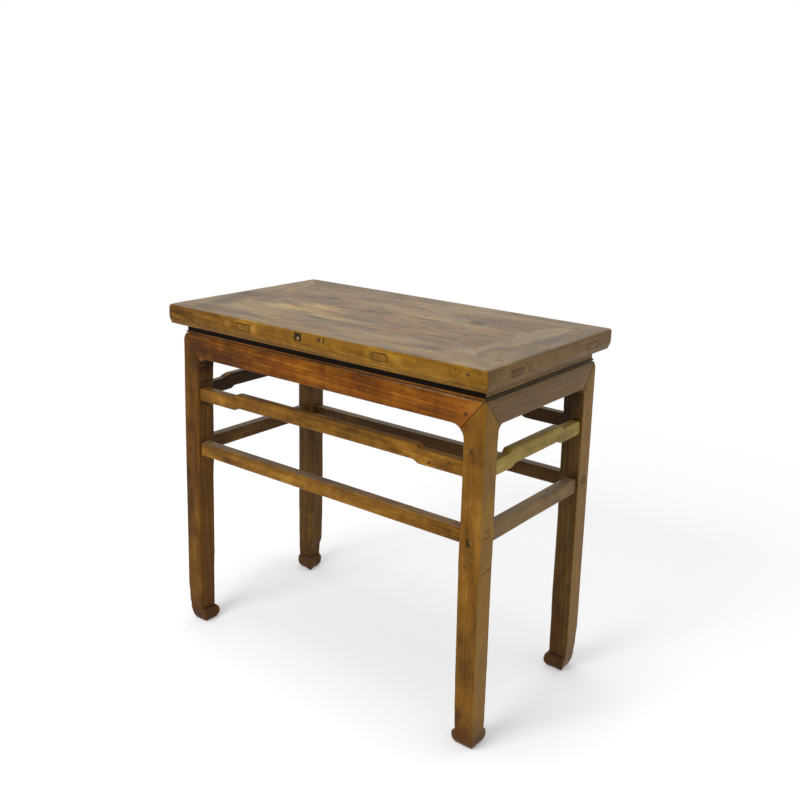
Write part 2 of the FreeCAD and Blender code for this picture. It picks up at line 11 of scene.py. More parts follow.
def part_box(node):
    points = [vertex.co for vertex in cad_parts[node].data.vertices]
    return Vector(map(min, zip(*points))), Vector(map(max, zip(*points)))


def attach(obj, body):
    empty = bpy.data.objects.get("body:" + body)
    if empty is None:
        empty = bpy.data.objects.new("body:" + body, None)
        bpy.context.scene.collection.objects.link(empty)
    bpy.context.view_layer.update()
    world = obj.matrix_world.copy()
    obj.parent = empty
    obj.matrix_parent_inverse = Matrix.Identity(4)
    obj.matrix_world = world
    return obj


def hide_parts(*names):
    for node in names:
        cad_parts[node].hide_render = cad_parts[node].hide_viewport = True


# Dresses the frame of a waisted Chinese side table: every piece is its solid, remeshed finely, worn by hand
# and given its own procedural wood. Lengths are metres, and millimetres in the marks and lines of the wood
# and where a comment says so. +X runs along the table, +Y to its back, +Z up.
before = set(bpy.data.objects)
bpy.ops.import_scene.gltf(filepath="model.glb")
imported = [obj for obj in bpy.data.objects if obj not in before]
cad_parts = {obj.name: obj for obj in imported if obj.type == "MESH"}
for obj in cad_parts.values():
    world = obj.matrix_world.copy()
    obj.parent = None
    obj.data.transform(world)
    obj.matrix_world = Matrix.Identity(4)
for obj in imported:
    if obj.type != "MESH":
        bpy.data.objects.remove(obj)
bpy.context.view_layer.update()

# Outer planes of the top and the legs, from the middle of the floor area, and the legs' width
HALF_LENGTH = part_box("top_rail_right")[1].x
HALF_DEPTH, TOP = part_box("top_rail_back")[1].yz
LEG_X, LEG_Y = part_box("leg_back_right")[1].xy
LEG_WIDTH = 0.051
# How far a neighbouring piece darkens the wood, and the bulge that counts as a full arris
SEAM_REACH = 0.006
ARRIS_BULGE = 0.0006


def add_object(name, data):
    """A new object in the scene."""
    made = bpy.data.objects.new(name, data)
    bpy.context.scene.collection.objects.link(made)
    return made


# Camera
def add_camera():
    """The photo's camera, as fitted to the table."""
    spot = (1.43298, -1.79396, 1.31507)
    data = bpy.data.cameras.new("camera")
    data.sensor_width = 36
    data.sensor_fit = "HORIZONTAL"
    data.lens = 44.807
    data.shift_y = -0.08
    camera = add_object("camera", data)
    ahead = Vector((-0.59479, 0.77254, -0.22226)).normalized()
    up = Vector((-0.15618, 0.16017, 0.97466))
    up = (up - up.dot(ahead) * ahead).normalized()
    right = ahead.cross(up)
    rows = [(right[i], up[i], -ahead[i], spot[i]) for i in range(3)]
    camera.matrix_world = Matrix((*rows, (0, 0, 0, 1)))
    bpy.context.scene.camera = camera


# Noise
def lattice(ix, iy, iz, seed):
    """A fixed random value from -1 to 1 for each cell corner."""
    n = (ix * 374761393 + iy * 668265263 + iz * 1440662683 + seed * 1274126177) & 0xFFFFFFFF
    n = ((n ^ (n >> 13)) * 1103515245) & 0xFFFFFFFF
    n = (n ^ (n >> 16)) & 0xFFFFFF
    return n / float(0xFFFFFF) * 2.0 - 1.0


def noise(points, scale, seed):
    """Smooth value noise from -1 to 1 at points, scale in cells per metre along each axis."""
    q = points * np.asarray(scale, float) + (seed * 7.31 % 50.0)
    cell = np.floor(q).astype(np.int64)
    f = q - cell
    f = f * f * (3.0 - 2.0 * f)
    total = np.zeros(len(points))
    for corner in itertools.product((0, 1), repeat=3):
        weight = np.where(corner, f, 1.0 - f).prod(axis=1)
        total += weight * lattice(*(cell + corner).T, seed)
    return total


def step(low, high, x):
    """Rises smoothly from 0 at low to 1 at high, or falls where low is the larger."""
    t = np.clip((x - low) / (high - low), 0.0, 1.0)
    return t * t * (3.0 - 2.0 * t)


def between(low, high, soft, x):
    """1 between low and high, with soft ends."""
    return step(low, low + soft, x) * step(high, high - soft, x)


def hill(x, middle, half):
    """A bump of height 1 at middle that is about gone two halves away."""
    return np.exp(-((x - middle) / half) ** 2)


# Worn wood from the frame's solids
def cad_bmesh(node):
    """The solid of a node with its corners merged."""
    bm = bmesh.new()
    bm.from_mesh(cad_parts[node].data)
    bmesh.ops.remove_doubles(bm, verts=bm.verts, dist=1e-6)
    return bm


def rows_of(things, name, width, kind=float):
    """A property of a mesh's points or edges, one row for each."""
    out = np.empty(len(things) * width, dtype=kind)
    things.foreach_get(name, out)
    return out.reshape(-1, width)


def warp_table(low, high, spans):
    """Knots of a map that squeezes the given spans (low, high, factor), so the remesh is coarser there."""
    cuts = sorted({low - 0.02, high + 0.02} | {v for s in spans for v in s[:2]})
    out = [cuts[0]]
    for a, b in zip(cuts[:-1], cuts[1:]):
        middle = (a + b) / 2
        factor = next((s[2] for s in spans if s[0] <= middle <= s[1]), 1.0)
        out.append(out[-1] + (b - a) / factor)
    return np.array(cuts), np.array(out)


def remeshed(node, voxel, spans):
    """The solid of a node as an even fine mesh, and its points. spans has the coarser stretches by axis."""
    bm = cad_bmesh(node)
    points = np.array([v.co[:] for v in bm.verts])
    low, high = points.min(axis=0), points.max(axis=0)
    tables = []
    for axis in range(3):
        tables.append(warp_table(low[axis], high[axis], spans.get("xyz"[axis], ())))
        for cut in tables[axis][0]:
            if low[axis] < cut < high[axis]:
                where, normal = Vector((0, 0, 0)), Vector((0, 0, 0))
                where[axis], normal[axis] = cut, 1.0
                geometry = bm.verts[:] + bm.edges[:] + bm.faces[:]
                bmesh.ops.bisect_plane(bm, geom=geometry, dist=1e-7, plane_co=where, plane_no=normal)
    for v in bm.verts:
        for axis in range(3):
            v.co[axis] = float(np.interp(v.co[axis], *tables[axis]))
    mesh = bpy.data.meshes.new("warped")
    bm.to_mesh(mesh)
    bm.free()
    thing = add_object("warped", mesh)
    modifier = thing.modifiers.new("remesh", "REMESH")
    modifier.mode = "VOXEL"
    modifier.voxel_size = voxel
    modifier.adaptivity = 0.0
    graph = bpy.context.evaluated_depsgraph_get()
    out = bpy.data.meshes.new_from_object(thing.evaluated_get(graph))
    bpy.data.objects.remove(thing)
    bpy.data.meshes.remove(mesh)
    p = rows_of(out.vertices, "co", 3)
    for axis in range(3):
        cuts, mapped = tables[axis]
        p[:, axis] = np.interp(p[:, axis], mapped, cuts)
    out.vertices.foreach_set("co", p.ravel())
    out.update()
    return out, p


def spread(value, links, rounds):
    """Blurs a value over the mesh."""
    a, b = links[:, 0], links[:, 1]
    count = np.bincount(a, minlength=len(value)) + np.bincount(b, minlength=len(value))
    for _ in range(rounds):
        mean = (np.bincount(a, weights=value[b], minlength=len(value))
                + np.bincount(b, weights=value[a], minlength=len(value))) / count
        value = value + (mean - value) * 0.5
    return value


def smoothed(p, links, rounds):
    """Blurs the points, which rounds the edges."""
    return np.stack([spread(p[:, axis], links, rounds) for axis in range(3)], axis=1)


TREES = {}


def tree_of(node):
    """Nearest-point search on a node's solid, built once."""
    if node not in TREES:
        bm = cad_bmesh(node)
        TREES[node] = BVHTree.FromBMesh(bm)
        bm.free()
    return TREES[node]


def seam_distance(node, p, reach):
    """How far each point is from the nearest other piece, at most reach."""
    out = np.full(len(p), reach)
    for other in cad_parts:
        if other == node:
            continue
        low, high = (np.array(c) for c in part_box(other))
        near = np.where(((p > low - reach) & (p < high + reach)).all(axis=1))[0]
        if not len(near):
            continue
        find = tree_of(other).find_nearest
        for i in near:
            hit = find(p[i], reach)
            if hit[3] is not None and hit[3] < out[i]:
                out[i] = hit[3]
    return out


def inward_shade_mask(node, n):
    """1 where the surface faces the inside of the table or the floor, the faces that get painted shade."""
    x = (node.find("right") >= 0) * 1 - (node.find("left") >= 0) * 1
    y = (node.find("back") >= 0) * 1 - (node.find("front") >= 0) * 1
    if node.startswith(("panel", "batten")):
        return step(0.3, 0.8, -n[:, 2])
    inside = np.maximum(step(0.3, 0.8, -n[:, 0] * x), step(0.3, 0.8, -n[:, 1] * y))
    if node.startswith("apron"):
        inside = np.maximum(inside, step(0.4, 0.8, np.abs(n[:, 0 if y else 1])))
    return np.maximum(inside, 1.3 * step(0.3, 0.8, -n[:, 2]))


def tight_top(p, n, gap):
    """Fills the grooves along the mitres and seams on the table's top, so only a hairline is left."""
    filled = TOP - 0.00012
    near = step(0.0022, 0.0009, gap) * step(TOP - 0.0030, TOP - 0.0016, p[:, 2]) * step(0.05, 0.3, n[:, 2])
    p = p.copy()
    p[:, 2] += (filled - p[:, 2]) * near
    return p


def close_top(node, p, n, gap):
    """Draws the last row of the top and its corners up to the neighbour, so mitres and seams stay shut."""
    row, corner_row, reach, depth, size = 0.0011, 0.0014, 0.0016, 0.0008, 0.013
    above = (gap < row) & (p[:, 2] > TOP - depth) & (n[:, 2] > 0.05)
    x, y = np.abs(p[:, 0]), np.abs(p[:, 1])
    corner = (gap < corner_row) & (x > HALF_LENGTH - size) & (y > HALF_DEPTH - size)
    others = [tree_of(other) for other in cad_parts
              if other != node and other.startswith(("top_rail", "panel"))]
    for i in np.nonzero(above | corner)[0]:
        best, spot = reach, None
        for tree in others:
            hit = tree.find_nearest(Vector(p[i]), best)
            if hit[0] is not None and hit[3] < best:
                best, spot = hit[3], hit[0]
        if spot is not None:
            p[i, 0], p[i, 1] = spot[0], spot[1]
    return p


def round_corners(p):
    """Wears the top's four corners round, the front left one most."""
    most, least = 0.0085, 0.006
    a, b = HALF_LENGTH - np.abs(p[:, 0]), HALF_DEPTH - np.abs(p[:, 1])
    radius = np.where((p[:, 0] < 0) & (p[:, 1] < 0), most, least)
    # u, v and w are how deep a point is in the corner along each axis, and its cube becomes a ball
    u, v = np.maximum(radius - a, 0), np.maximum(radius - b, 0)
    w = np.maximum(radius - (TOP - p[:, 2]), 0) * step(3.0, 1.0, np.maximum(a, b) / radius)
    size = np.sqrt(u * u + v * v + w * w)
    pull = 1.0 - np.maximum(np.maximum(u, v), w) / np.maximum(size, 1e-9)
    out = p.copy()
    out[:, 0] -= np.sign(p[:, 0]) * u * pull
    out[:, 1] -= np.sign(p[:, 1]) * v * pull
    out[:, 2] -= w * pull
    return out


def back_rail(p, n, gap):
    """The back rail only has its seams filled and its corners worn."""
    return round_corners(tight_top(p, n, gap))


# Dips rubbed into the upper arris: place along the rail, half width, and depth in millimetres
FRONT_DIPS = ((-0.004, 0.016, 0.9), (0.036, 0.010, 1.3), (0.175, 0.022, 0.8), (-0.300, 0.026, 0.9),
              (0.330, 0.014, 0.8), (-0.120, 0.018, 0.5), (0.255, 0.030, 0.5), (-0.415, 0.020, 0.7))
END_DIPS = ((-0.236, 0.012, 0.9), (-0.05, 0.03, 0.6), (0.09, 0.02, 0.7), (0.21, 0.02, 0.5))


def rubbed(p, face, half, dips):
    """How deep the dips are on a rail's upper arris. face is the axis of its outer face, half its place."""
    lip = step(TOP - 0.008, TOP - 0.0002, p[:, 2]) * step(half - 0.0055, half - 0.0005, np.abs(p[:, face]))
    return lip * sum(depth * hill(p[:, 1 - face], at, width) for at, width, depth in dips) * 0.001


def front_rail(p, n, gap):
    """Sinks the plug's square bed and the patched nick, and rubs dips into the upper arris."""
    bed_depth, nick_depth, inward_share = 0.0010, 0.0007, 0.7
    p = back_rail(p, n, gap)
    x, z = p[:, 0], p[:, 2]
    bed = between(-0.0418, -0.0168, 0.0013, x) * between(0.8160, 0.8372, 0.0012, z)
    nick = between(0.0243, 0.0468, 0.0013, x) * step(0.8252, 0.8265, z)
    p[:, 1] += (bed * bed_depth + nick * nick_depth) * step(0.5, 0.9, -n[:, 1])
    dips = rubbed(p, 1, HALF_DEPTH, FRONT_DIPS)
    p[:, 2] -= dips
    p[:, 1] += dips * inward_share
    return p


def end_rail(p, n, gap):
    """Rubs dips into the upper arris of an end rail."""
    p = back_rail(p, n, gap)
    p[:, 2] -= rubbed(p, 0, HALF_LENGTH, END_DIPS)
    return p


def restep(p, axis, span, top, bottom):
    """Carves another top and bottom line into a humped stretcher over part of its length."""
    cell_length = 0.002
    t = p[:, axis]
    cells = int((span[1] - span[0]) / cell_length)
    cell = ((t - span[0]) / (span[1] - span[0]) * cells).astype(int)
    inside = (t >= span[0]) & (t < span[1])
    low = np.array([p[inside & (cell == i), 2].min() for i in range(cells)])
    high = np.array([p[inside & (cell == i), 2].max() for i in range(cells)])
    middles = span[0] + (np.arange(cells) + 0.5) * (span[1] - span[0]) / cells
    where = t[inside]
    low, high = np.interp(where, middles, low), np.interp(where, middles, high)
    new_low, new_high = bottom(where, low), top(where, high)
    out = p.copy()
    out[inside, 2] = new_low + (p[inside, 2] - low) * (new_high - new_low) / (high - low)
    return out


def left_hump(p, n, gap):
    """The left stretcher's front step rises slowly above and sharply below."""
    low_top, low_bottom, top_rise, bottom_rise = 0.6335, 0.6010, 0.008, 0.007
    return restep(p, 1, (-0.150, -0.070),
                  lambda y, old: np.minimum(old, low_top + top_rise * step(-0.128, -0.094, y)),
                  lambda y, old: low_bottom + bottom_rise * step(-0.102, -0.085, y))


def quarter_fall(past, radius):
    """How far a quarter round has fallen at a length past its start."""
    return radius - np.sqrt(np.maximum(0.0, radius ** 2 - np.maximum(0.0, past) ** 2))


def right_hump(p, n, gap):
    """The right stretcher's back end is rounded where it meets the leg."""
    start, radius = 0.1695, 0.009
    return restep(p, 1, (0.1680, 0.1785), lambda y, old: old - quarter_fall(y - start, radius),
                  lambda y, old: old + quarter_fall(y - start, radius))


def front_hump(p, n, gap):
    """The front stretcher's left end is eased where it meets the leg, less below."""
    start, radius, below = -0.3875, 0.005, 0.4
    return restep(p, 0, (-0.3925, -0.3840), lambda x, old: old - quarter_fall(start - x, radius),
                  lambda x, old: old + quarter_fall(start - x, radius) * below)


# How far each leg's faces stray outwards by height, and a foot's tip beyond its corner, in millimetres
LEG_WANDER = {
    "front_right": dict(
        outer_x=[(0, 8.5), (15, 6.8), (28, 4.2), (60, 2.2), (110, 0.5), (200, 0)],
        inner_x=[(0, 0), (150, -0.6), (250, -1.5), (330, -2.6), (430, -2.6), (520, -1.2), (630, 0)],
        inner_y=[(0, -3.5), (60, -4), (150, -4), (300, -2.5), (440, -1.5), (560, 0)]),
    "front_left": dict(
        outer_x=[(0, 1.2), (120, 1.8), (620, 1.8), (700, 0)],
        outer_y=[(0, 0.8), (300, 0.4), (620, 0)]),
    "back_right": dict(
        inner_x=[(0, -2), (60, -2.5), (150, -2.2), (300, -0.8), (440, 0)],
        inner_y=[(0, -3), (150, -2.8), (300, -1), (440, 0)], tip=(4.5, -5)),
    "back_left": dict(
        inner_x=[(0, 2), (55, 3), (66, 2.2), (80, -2.4), (120, -3), (300, -2.6), (440, -1), (560, 0)],
        outer_y=[(0, 0), (60, -1), (80, 1.2), (300, 1.2), (440, 0)], tip=(-7, -6.5)),
}


def leg_shape(leg):
    """Each leg strays a little from square, and its toe has a cut ledge."""
    side = 1 if "right" in leg else -1
    end = 1 if "back" in leg else -1
    tables = LEG_WANDER[leg]

    def stray(name, z):
        table = np.array(tables.get(name, [(0, 0), (1, 0)]), float)
        return np.interp(z, table[:, 0] / 1000, table[:, 1] / 1000)

    def shape(p, n, gap):
        x, y, z = p[:, 0] * side, p[:, 1] * end, p[:, 2]
        # u and v run from 0 on the outer faces to 1 on the inner ones
        u = np.clip((LEG_X - x) / LEG_WIDTH, 0, 1)
        v = np.clip((LEG_Y - y) / LEG_WIDTH, 0, 1)
        dx = stray("outer_x", z) * (1 - u) + stray("inner_x", z) * u
        dy = stray("outer_y", z) * (1 - v) + stray("inner_y", z) * v
        reach_x, reach_y = tables.get("tip", (0, 0))
        corner = step(0.045, 0.0, z) * step(0.5, 1.0, v)
        corner = corner * (step(0.5, 1.0, u) if leg == "back_left" else step(0.5, 0.0, u))
        dx = dx + corner * reach_x / 1000
        dy = dy + corner * reach_y / 1000
        # the toe's ledge is cut in, with a lip under it
        inner = np.maximum(step(0.4, 0.8, -n[:, 0] * side), step(0.4, 0.8, -n[:, 1] * end))
        cut = (hill(z, 0.0362, 0.0018) * -0.0011 + hill(z, 0.0305, 0.0032) * 0.0009) * inner
        out = p + n * cut[:, None]
        out[:, 0] += dx * side
        out[:, 1] += dy * end
        # the foot's outer lower edges are rubbed round, towards the foot's middle
        low, half_foot, rub = step(0.010, 0.0, z), 0.0245, 0.07
        middle = np.array([(LEG_X - half_foot) * side, (LEG_Y - half_foot) * end])
        out[:, :2] += (middle - out[:, :2]) * (low * rub)[:, None]
        return out
    return shape


def crusted(p, n, gap):
    """Old glue and dust stand a little proud along the front apron's upper edge."""
    height, crust_seed = 0.0009, 91
    band = step(0.7630, 0.7645, p[:, 2]) * step(-0.2215, -0.2240, p[:, 1]) * step(0.09, 0.16, p[:, 0])
    lumps = np.clip(noise(p, (260, 260, 260), crust_seed) - 0.05, 0, 1) * height
    return p + n * (lumps * band)[:, None]


def worn(node, voxel, spans=None, soft=3, wave=0.00025, wear=0.0012, seed=1, shape=None):
    """Builds the worn piece for a node. soft is the rounds of smoothing, wave and wear are depths."""
    mesh, p = remeshed(node, voxel, spans or {})
    links = rows_of(mesh.edges, "vertices", 2, np.int32)
    n = rows_of(mesh.vertices, "normal", 3)
    q = smoothed(p, links, 5)
    bulge = ((p - q) * n).sum(axis=1)
    edge = np.clip(spread(bulge, links, 2) / ARRIS_BULGE, -1, 1)
    gap = seam_distance(node, p, SEAM_REACH)
    free = step(SEAM_REACH / 4, SEAM_REACH, gap)
    chips = noise(p, (55, 55, 55), seed) * 0.6 + noise(p, (160, 160, 160), seed + 1) * 0.4
    slow = noise(p, (9, 9, 9), seed + 2)
    # hand-planed faces are slightly wavy, and arrises are rubbed round and nicked
    rounder = smoothed(p, links, soft)
    p = p + (rounder - p) * free[:, None]
    rub = np.clip(edge, 0, 1) * (0.35 + 0.35 * slow + 0.9 * np.clip(chips - 0.35, 0, 1))
    rub = rub * wear * (0.45 + 0.55 * free)
    lift = noise(p, (14, 14, 14), seed + 3) * 0.7 + noise(p, (45, 45, 45), seed + 4) * 0.3
    lift = lift * wave * (0.2 + 0.8 * free)
    p = p - n * (np.clip(rub, 0, None) - np.clip(lift, -1, 0))[:, None]
    if shape:
        p = shape(p, n, gap)
    if node.startswith(("top_rail", "panel")):
        p = close_top(node, p, n, gap)
    mesh.vertices.foreach_set("co", p.ravel())
    mesh.update()
    for name, value in (("edge", np.clip(edge, 0, 1)), ("hollow", np.clip(-edge, 0, 1)),
                        ("seam", 1.0 - np.clip(gap / SEAM_REACH, 0, 1)), ("inner", inward_shade_mask(node, n))):
        layer = mesh.attributes.new(name, "FLOAT", "POINT")
        layer.data.foreach_set("value", value.astype(np.float32))
    mesh.polygons.foreach_set("use_smooth", [True] * len(mesh.polygons))
    mesh.set_sharp_from_angle(angle=math.radians(60))
    mesh.name = node + ".wood"
    piece = add_object(node + ".wood", mesh)
    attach(piece, "root")
    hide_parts(node)
    return piece


# Pieces
SIDES = ("front", "back", "left", "right")


def build_pieces():
    """Every piece of the table. Long plain stretches get coarser, as spans with a factor say."""
    pieces = {}
    seeds = iter(range(0, 1000, 10))

    def add(node, voxel, spans=None, **wear):
        pieces[node] = worn(node, voxel, spans, seed=next(seeds), **wear)

    # the long rails stay fine at the ends, the batten tenons and the plug
    coarse = [(-0.335, -0.230, 3.0), (-0.170, -0.050, 3.0), (0.052, 0.172, 3.0), (0.230, 0.335, 3.0)]
    for side, shape in (("front", front_rail), ("back", back_rail)):
        add("top_rail_" + side, 0.0017, {"x": coarse}, wear=0.0016, shape=shape)
    for side in ("left", "right"):
        add("top_rail_" + side, 0.0015, {"y": [(-0.105, 0.125, 3.0)]}, wear=0.0016, shape=end_rail)
    for side in ("front", "back"):
        y0, y1 = (corner[1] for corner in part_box("panel_board_" + side))
        middle = {"x": [(-0.32, 0.32, 2.5)], "y": [(y0 + 0.015, y1 - 0.015, 2.5)]}
        add("panel_board_" + side, 0.0018, middle, shape=tight_top)
    for side in ("left", "right"):
        add("batten_" + side, 0.002, {"y": [(-0.24, 0.24, 2.0)]})
    for side in SIDES:
        axis, reach, end = ("x", 0.36, LEG_X) if side in ("front", "back") else ("y", 0.15, LEG_Y)
        add("apron_" + side, 0.0017, {axis: [(-reach, reach, 2.0)]},
            shape=crusted if side == "front" else None)
        add("waist_board_" + side, 0.0014, {axis: [(-reach, reach, 4.0)]})
        add("waist_moulding_" + side, 0.001, {axis: [(-end + 0.03, end - 0.03, 3.5)]}, soft=1, wear=0.0006)
        add("hump_stretcher_" + side, 0.0016,
            shape={"front": front_hump, "left": left_hump, "right": right_hump}.get(side))
        add("lower_stretcher_" + side, 0.0017, {axis: [(-end + 0.06, end - 0.06, 2.0)]})
    for leg in ("front_left", "front_right", "back_left", "back_right"):
        add("leg_" + leg, 0.0018, {"z": [(0.13, 0.44, 2.0), (0.51, 0.59, 1.5)]}, shape=leg_shape(leg))
    for node in ("rail_plug", "apron_peg"):
        add(node, 0.0005, soft=1, wear=0.0002, wave=0.00005)
    return pieces


# Wood material
def lin(r, g, b):
    """A colour given as 0-255 screen values, as Blender's linear values."""
    return tuple((c / 255 / 12.92) if c <= 10 else ((c / 255 + 0.055) / 1.055) ** 2.4 for c in (r, g, b))


class Tree:
    """Small helper that adds shader nodes and links them."""

    def __init__(self, tree):
        self.tree = tree

    def put(self, socket, value):
        if isinstance(value, bpy.types.NodeSocket):
            self.tree.links.new(value, socket)
        elif isinstance(value, (tuple, list)) and len(value) == 3 and socket.type == "RGBA":
            socket.default_value = (*value, 1)
        else:
            socket.default_value = value

    def node(self, kind, inputs=(), **props):
        made = self.tree.nodes.new(kind)
        for key, value in props.items():
            setattr(made, key, value)
        for key, value in dict(inputs).items():
            self.put(made.inputs[key], value)
        return made

    def math(self, operation, *values, clamp=False):
        made = self.node("ShaderNodeMath", enumerate(values), operation=operation, use_clamp=clamp)
        return made.outputs[0]

    def plus(self, a, b):
        return self.math("ADD", a, b)

    def times(self, a, b):
        return self.math("MULTIPLY", a, b)

    def centred(self, value):
        return self.math("SUBTRACT", value, 0.5)

    def vector(self, operation, *values):
        made = self.node("ShaderNodeVectorMath", enumerate(values), operation=operation)
        single = operation in ("LENGTH", "DOT_PRODUCT")
        return made.outputs["Value" if single else "Vector"]

    def parts(self, vector):
        return self.node("ShaderNodeSeparateXYZ", {0: vector}).outputs

    def box_length(self, vector):
        """The largest size of a vector along any axis."""
        x, y, z = self.parts(self.vector("ABSOLUTE", vector))
        return self.math("MAXIMUM", x, self.math("MAXIMUM", y, z))

    def texture(self, vector, scale, detail, rough, distortion):
        scaled = self.vector("MULTIPLY", vector, scale)
        return self.node("ShaderNodeTexNoise", {"Vector": scaled, "Scale": 1.0, "Detail": detail,
                                               "Roughness": rough, "Distortion": distortion}).outputs

    def noise(self, vector, scale, detail=2.0, rough=0.5, distortion=0.0):
        return self.texture(vector, scale, detail, rough, distortion)["Fac"]

    def shake(self, vector, scale, rough, amount):
        """A smooth random offset for each place, amount wide along each axis."""
        color = self.texture(vector, scale, 4.0, rough, 0.0)["Color"]
        return self.vector("MULTIPLY", self.vector("SUBTRACT", color, (0.5, 0.5, 0.5)), amount)

    def noise1(self, value, detail, rough):
        inputs = {"W": value, "Scale": 1.0, "Detail": detail, "Roughness": rough}
        return self.node("ShaderNodeTexNoise", inputs, noise_dimensions="1D").outputs["Fac"]

    def ramp(self, value, low, high, start=0.0, end=1.0):
        return self.node("ShaderNodeMapRange", {0: value, 1: low, 2: high, 3: start, 4: end},
                         interpolation_type="SMOOTHSTEP").outputs[0]

    def mix(self, factor, a, b):
        return self.node("ShaderNodeMix", {0: factor, 6: a, 7: b}, data_type="RGBA").outputs[2]

    def darker(self, cover, color, share, tint):
        """Draws a colour towards a dark tint by a share, where cover says."""
        return self.mix(cover, color, self.mix(share, color, tint))

    def attribute(self, name):
        return self.node("ShaderNodeAttribute", attribute_name=name).outputs["Fac"]


def grain_group():
    """Wood figure from rings, fibres, pores and stains, along the first axis of its vector."""
    group = bpy.data.node_groups.new("wood_figure", "ShaderNodeTree")
    face = group.interface
    for name, kind in (("Vector", "Vector"), ("Ring", "Float"), ("Dark", "Color"), ("Mid", "Color"),
                       ("Light", "Color"), ("Bands", "Float"), ("Stain", "Float")):
        face.new_socket(name, in_out="INPUT", socket_type="NodeSocket" + kind)
    for name, kind in (("Color", "Color"), ("Height", "Float"), ("Shine", "Float")):
        face.new_socket(name, in_out="OUTPUT", socket_type="NodeSocket" + kind)
    t = Tree(group)
    given = t.node("NodeGroupInput").outputs
    v = given["Vector"]
    # the rings run round a pith that wanders beside the piece
    bend = t.times(t.centred(t.noise(v, (2.2, 9, 9), 1.0)), 0.034)
    ripple = t.times(t.centred(t.noise(v, (11, 40, 40), 1.0)), 0.004)
    split = t.parts(v)
    across = t.plus(t.plus(split[1], bend), ripple)
    depth = t.plus(split[2], t.times(split[0], 0.03))
    radius = t.vector("LENGTH", t.node("ShaderNodeCombineXYZ", {0: across, 1: depth}).outputs[0])
    rings = t.ramp(t.noise1(t.times(radius, given["Ring"]), 2.5, 0.55), 0.36, 0.66)
    fibre = t.noise(v, (13, 400, 400), 2.0, 0.6)
    streak = t.noise(v, (5, 70, 70), 2.5, 0.6)
    fleck = t.noise(v, (150, 280, 280), 2.0, 0.6)
    flame = t.noise(v, (42, 12, 12), 1.0, 0.5, 0.6)
    pores = t.ramp(t.noise(v, (90, 1500, 1500), 0.0), 0.63, 0.74)
    pores = t.times(pores, t.ramp(rings, 0.2, 0.7, 1.0, 0.35))
    patch = t.noise(v, (6, 16, 16), 2.0, 0.55, 0.8)
    mottle = t.noise(v, (22, 44, 44), 2.0, 0.6, 0.6)
    tone = t.plus(t.times(t.centred(rings), given["Bands"]), 0.5)
    weights = ((streak, 0.42), (patch, 1.5), (mottle, 0.7), (fibre, 0.28), (fleck, 0.4), (flame, 0.4))
    for part, weight in weights:
        tone = t.plus(tone, t.times(t.centred(part), weight))
    color = t.mix(t.ramp(tone, 0.0, 0.55), given["Dark"], given["Mid"])
    color = t.mix(t.ramp(tone, 0.5, 1.05), color, given["Light"])
    color = t.darker(t.times(pores, 0.55), color, 0.7, (0.01, 0.006, 0.003))
    specks = t.ramp(t.noise(v, (120, 170, 170), 1.0, 0.5), 0.70, 0.78, 0.0, 0.6)
    color = t.darker(specks, color, 0.8, lin(30, 17, 8))
    smudge = t.noise(v, (14, 26, 26), 3.0, 0.65, 1.2)
    smudge = t.times(t.ramp(smudge, 0.56, 0.78), given["Stain"])
    color = t.darker(smudge, color, 0.75, lin(38, 22, 10))
    height = t.plus(t.times(rings, 0.15), t.times(fibre, 0.35))
    height = t.math("SUBTRACT", height, t.times(pores, 0.6))
    shine = t.plus(t.times(smudge, 0.12), t.times(t.centred(patch), 0.16))
    shine = t.plus(shine, t.times(t.centred(fibre), 0.1))
    t.node("NodeGroupOutput", {"Color": color, "Height": height, "Shine": shine})
    return group


def grained(axis, along, across):
    """One value along the grain and another across it, for x, y and z."""
    return tuple(along if name == axis else across for name in "xyz")


def dusty_sheen_film(t, p, axis):
    """The hazy film of dust and painted sheen on what faces up: clouds and streaks, with hairs, blots, two
    hues and specks.
    """
    cloud = t.noise(p, grained(axis, 4, 11), 3.0, 0.6, 0.8)
    streak = t.noise(p, grained(axis, 9, 50), 3.0, 0.65, 0.4)
    broad = t.plus(t.times(cloud, 0.65), t.times(streak, 0.35))
    film = t.mix(t.ramp(broad, 0.36, 0.62), lin(117, 108, 99), lin(172, 153, 120))
    hair = t.noise(p, grained(axis, 26, 260), 2.0, 0.65, 0.3)
    film = t.mix(t.ramp(hair, 0.44, 0.7, 0.0, 0.5), film, lin(108, 90, 70))
    blot = t.noise(p, (95, 95, 95), 3.0, 0.7, 1.5)
    film = t.mix(t.ramp(blot, 0.6, 0.74, 0.0, 0.5), film, lin(96, 86, 80))
    hue = t.ramp(t.noise(p, grained(axis, 28, 80), 3.0, 0.7, 0.8), 0.36, 0.64)
    film = t.vector("MULTIPLY", film, t.mix(hue, (0.92, 0.99, 1.18), (1.1, 1.02, 0.8)))
    speck = t.noise(p, grained(axis, 60, 95), 1.0, 0.5)
    return t.mix(t.ramp(speck, 0.69, 0.77, 0.0, 0.7), film, lin(74, 56, 42))


def put_facing(t, color, normal, height, facing):
    """Paints light and shade on the faces that look one way: direction, tint and strength."""
    for way, tint, strength in facing:
        toward = t.ramp(t.vector("DOT_PRODUCT", normal, way), 0.5, 0.9, 0.0, strength)
        dark, light = (tuple(c * share for c in lin(*tint)) for share in (0.68, 1.22))
        color = t.mix(toward, color, t.mix(t.ramp(height, 0.02, 0.42), dark, light))
    return color


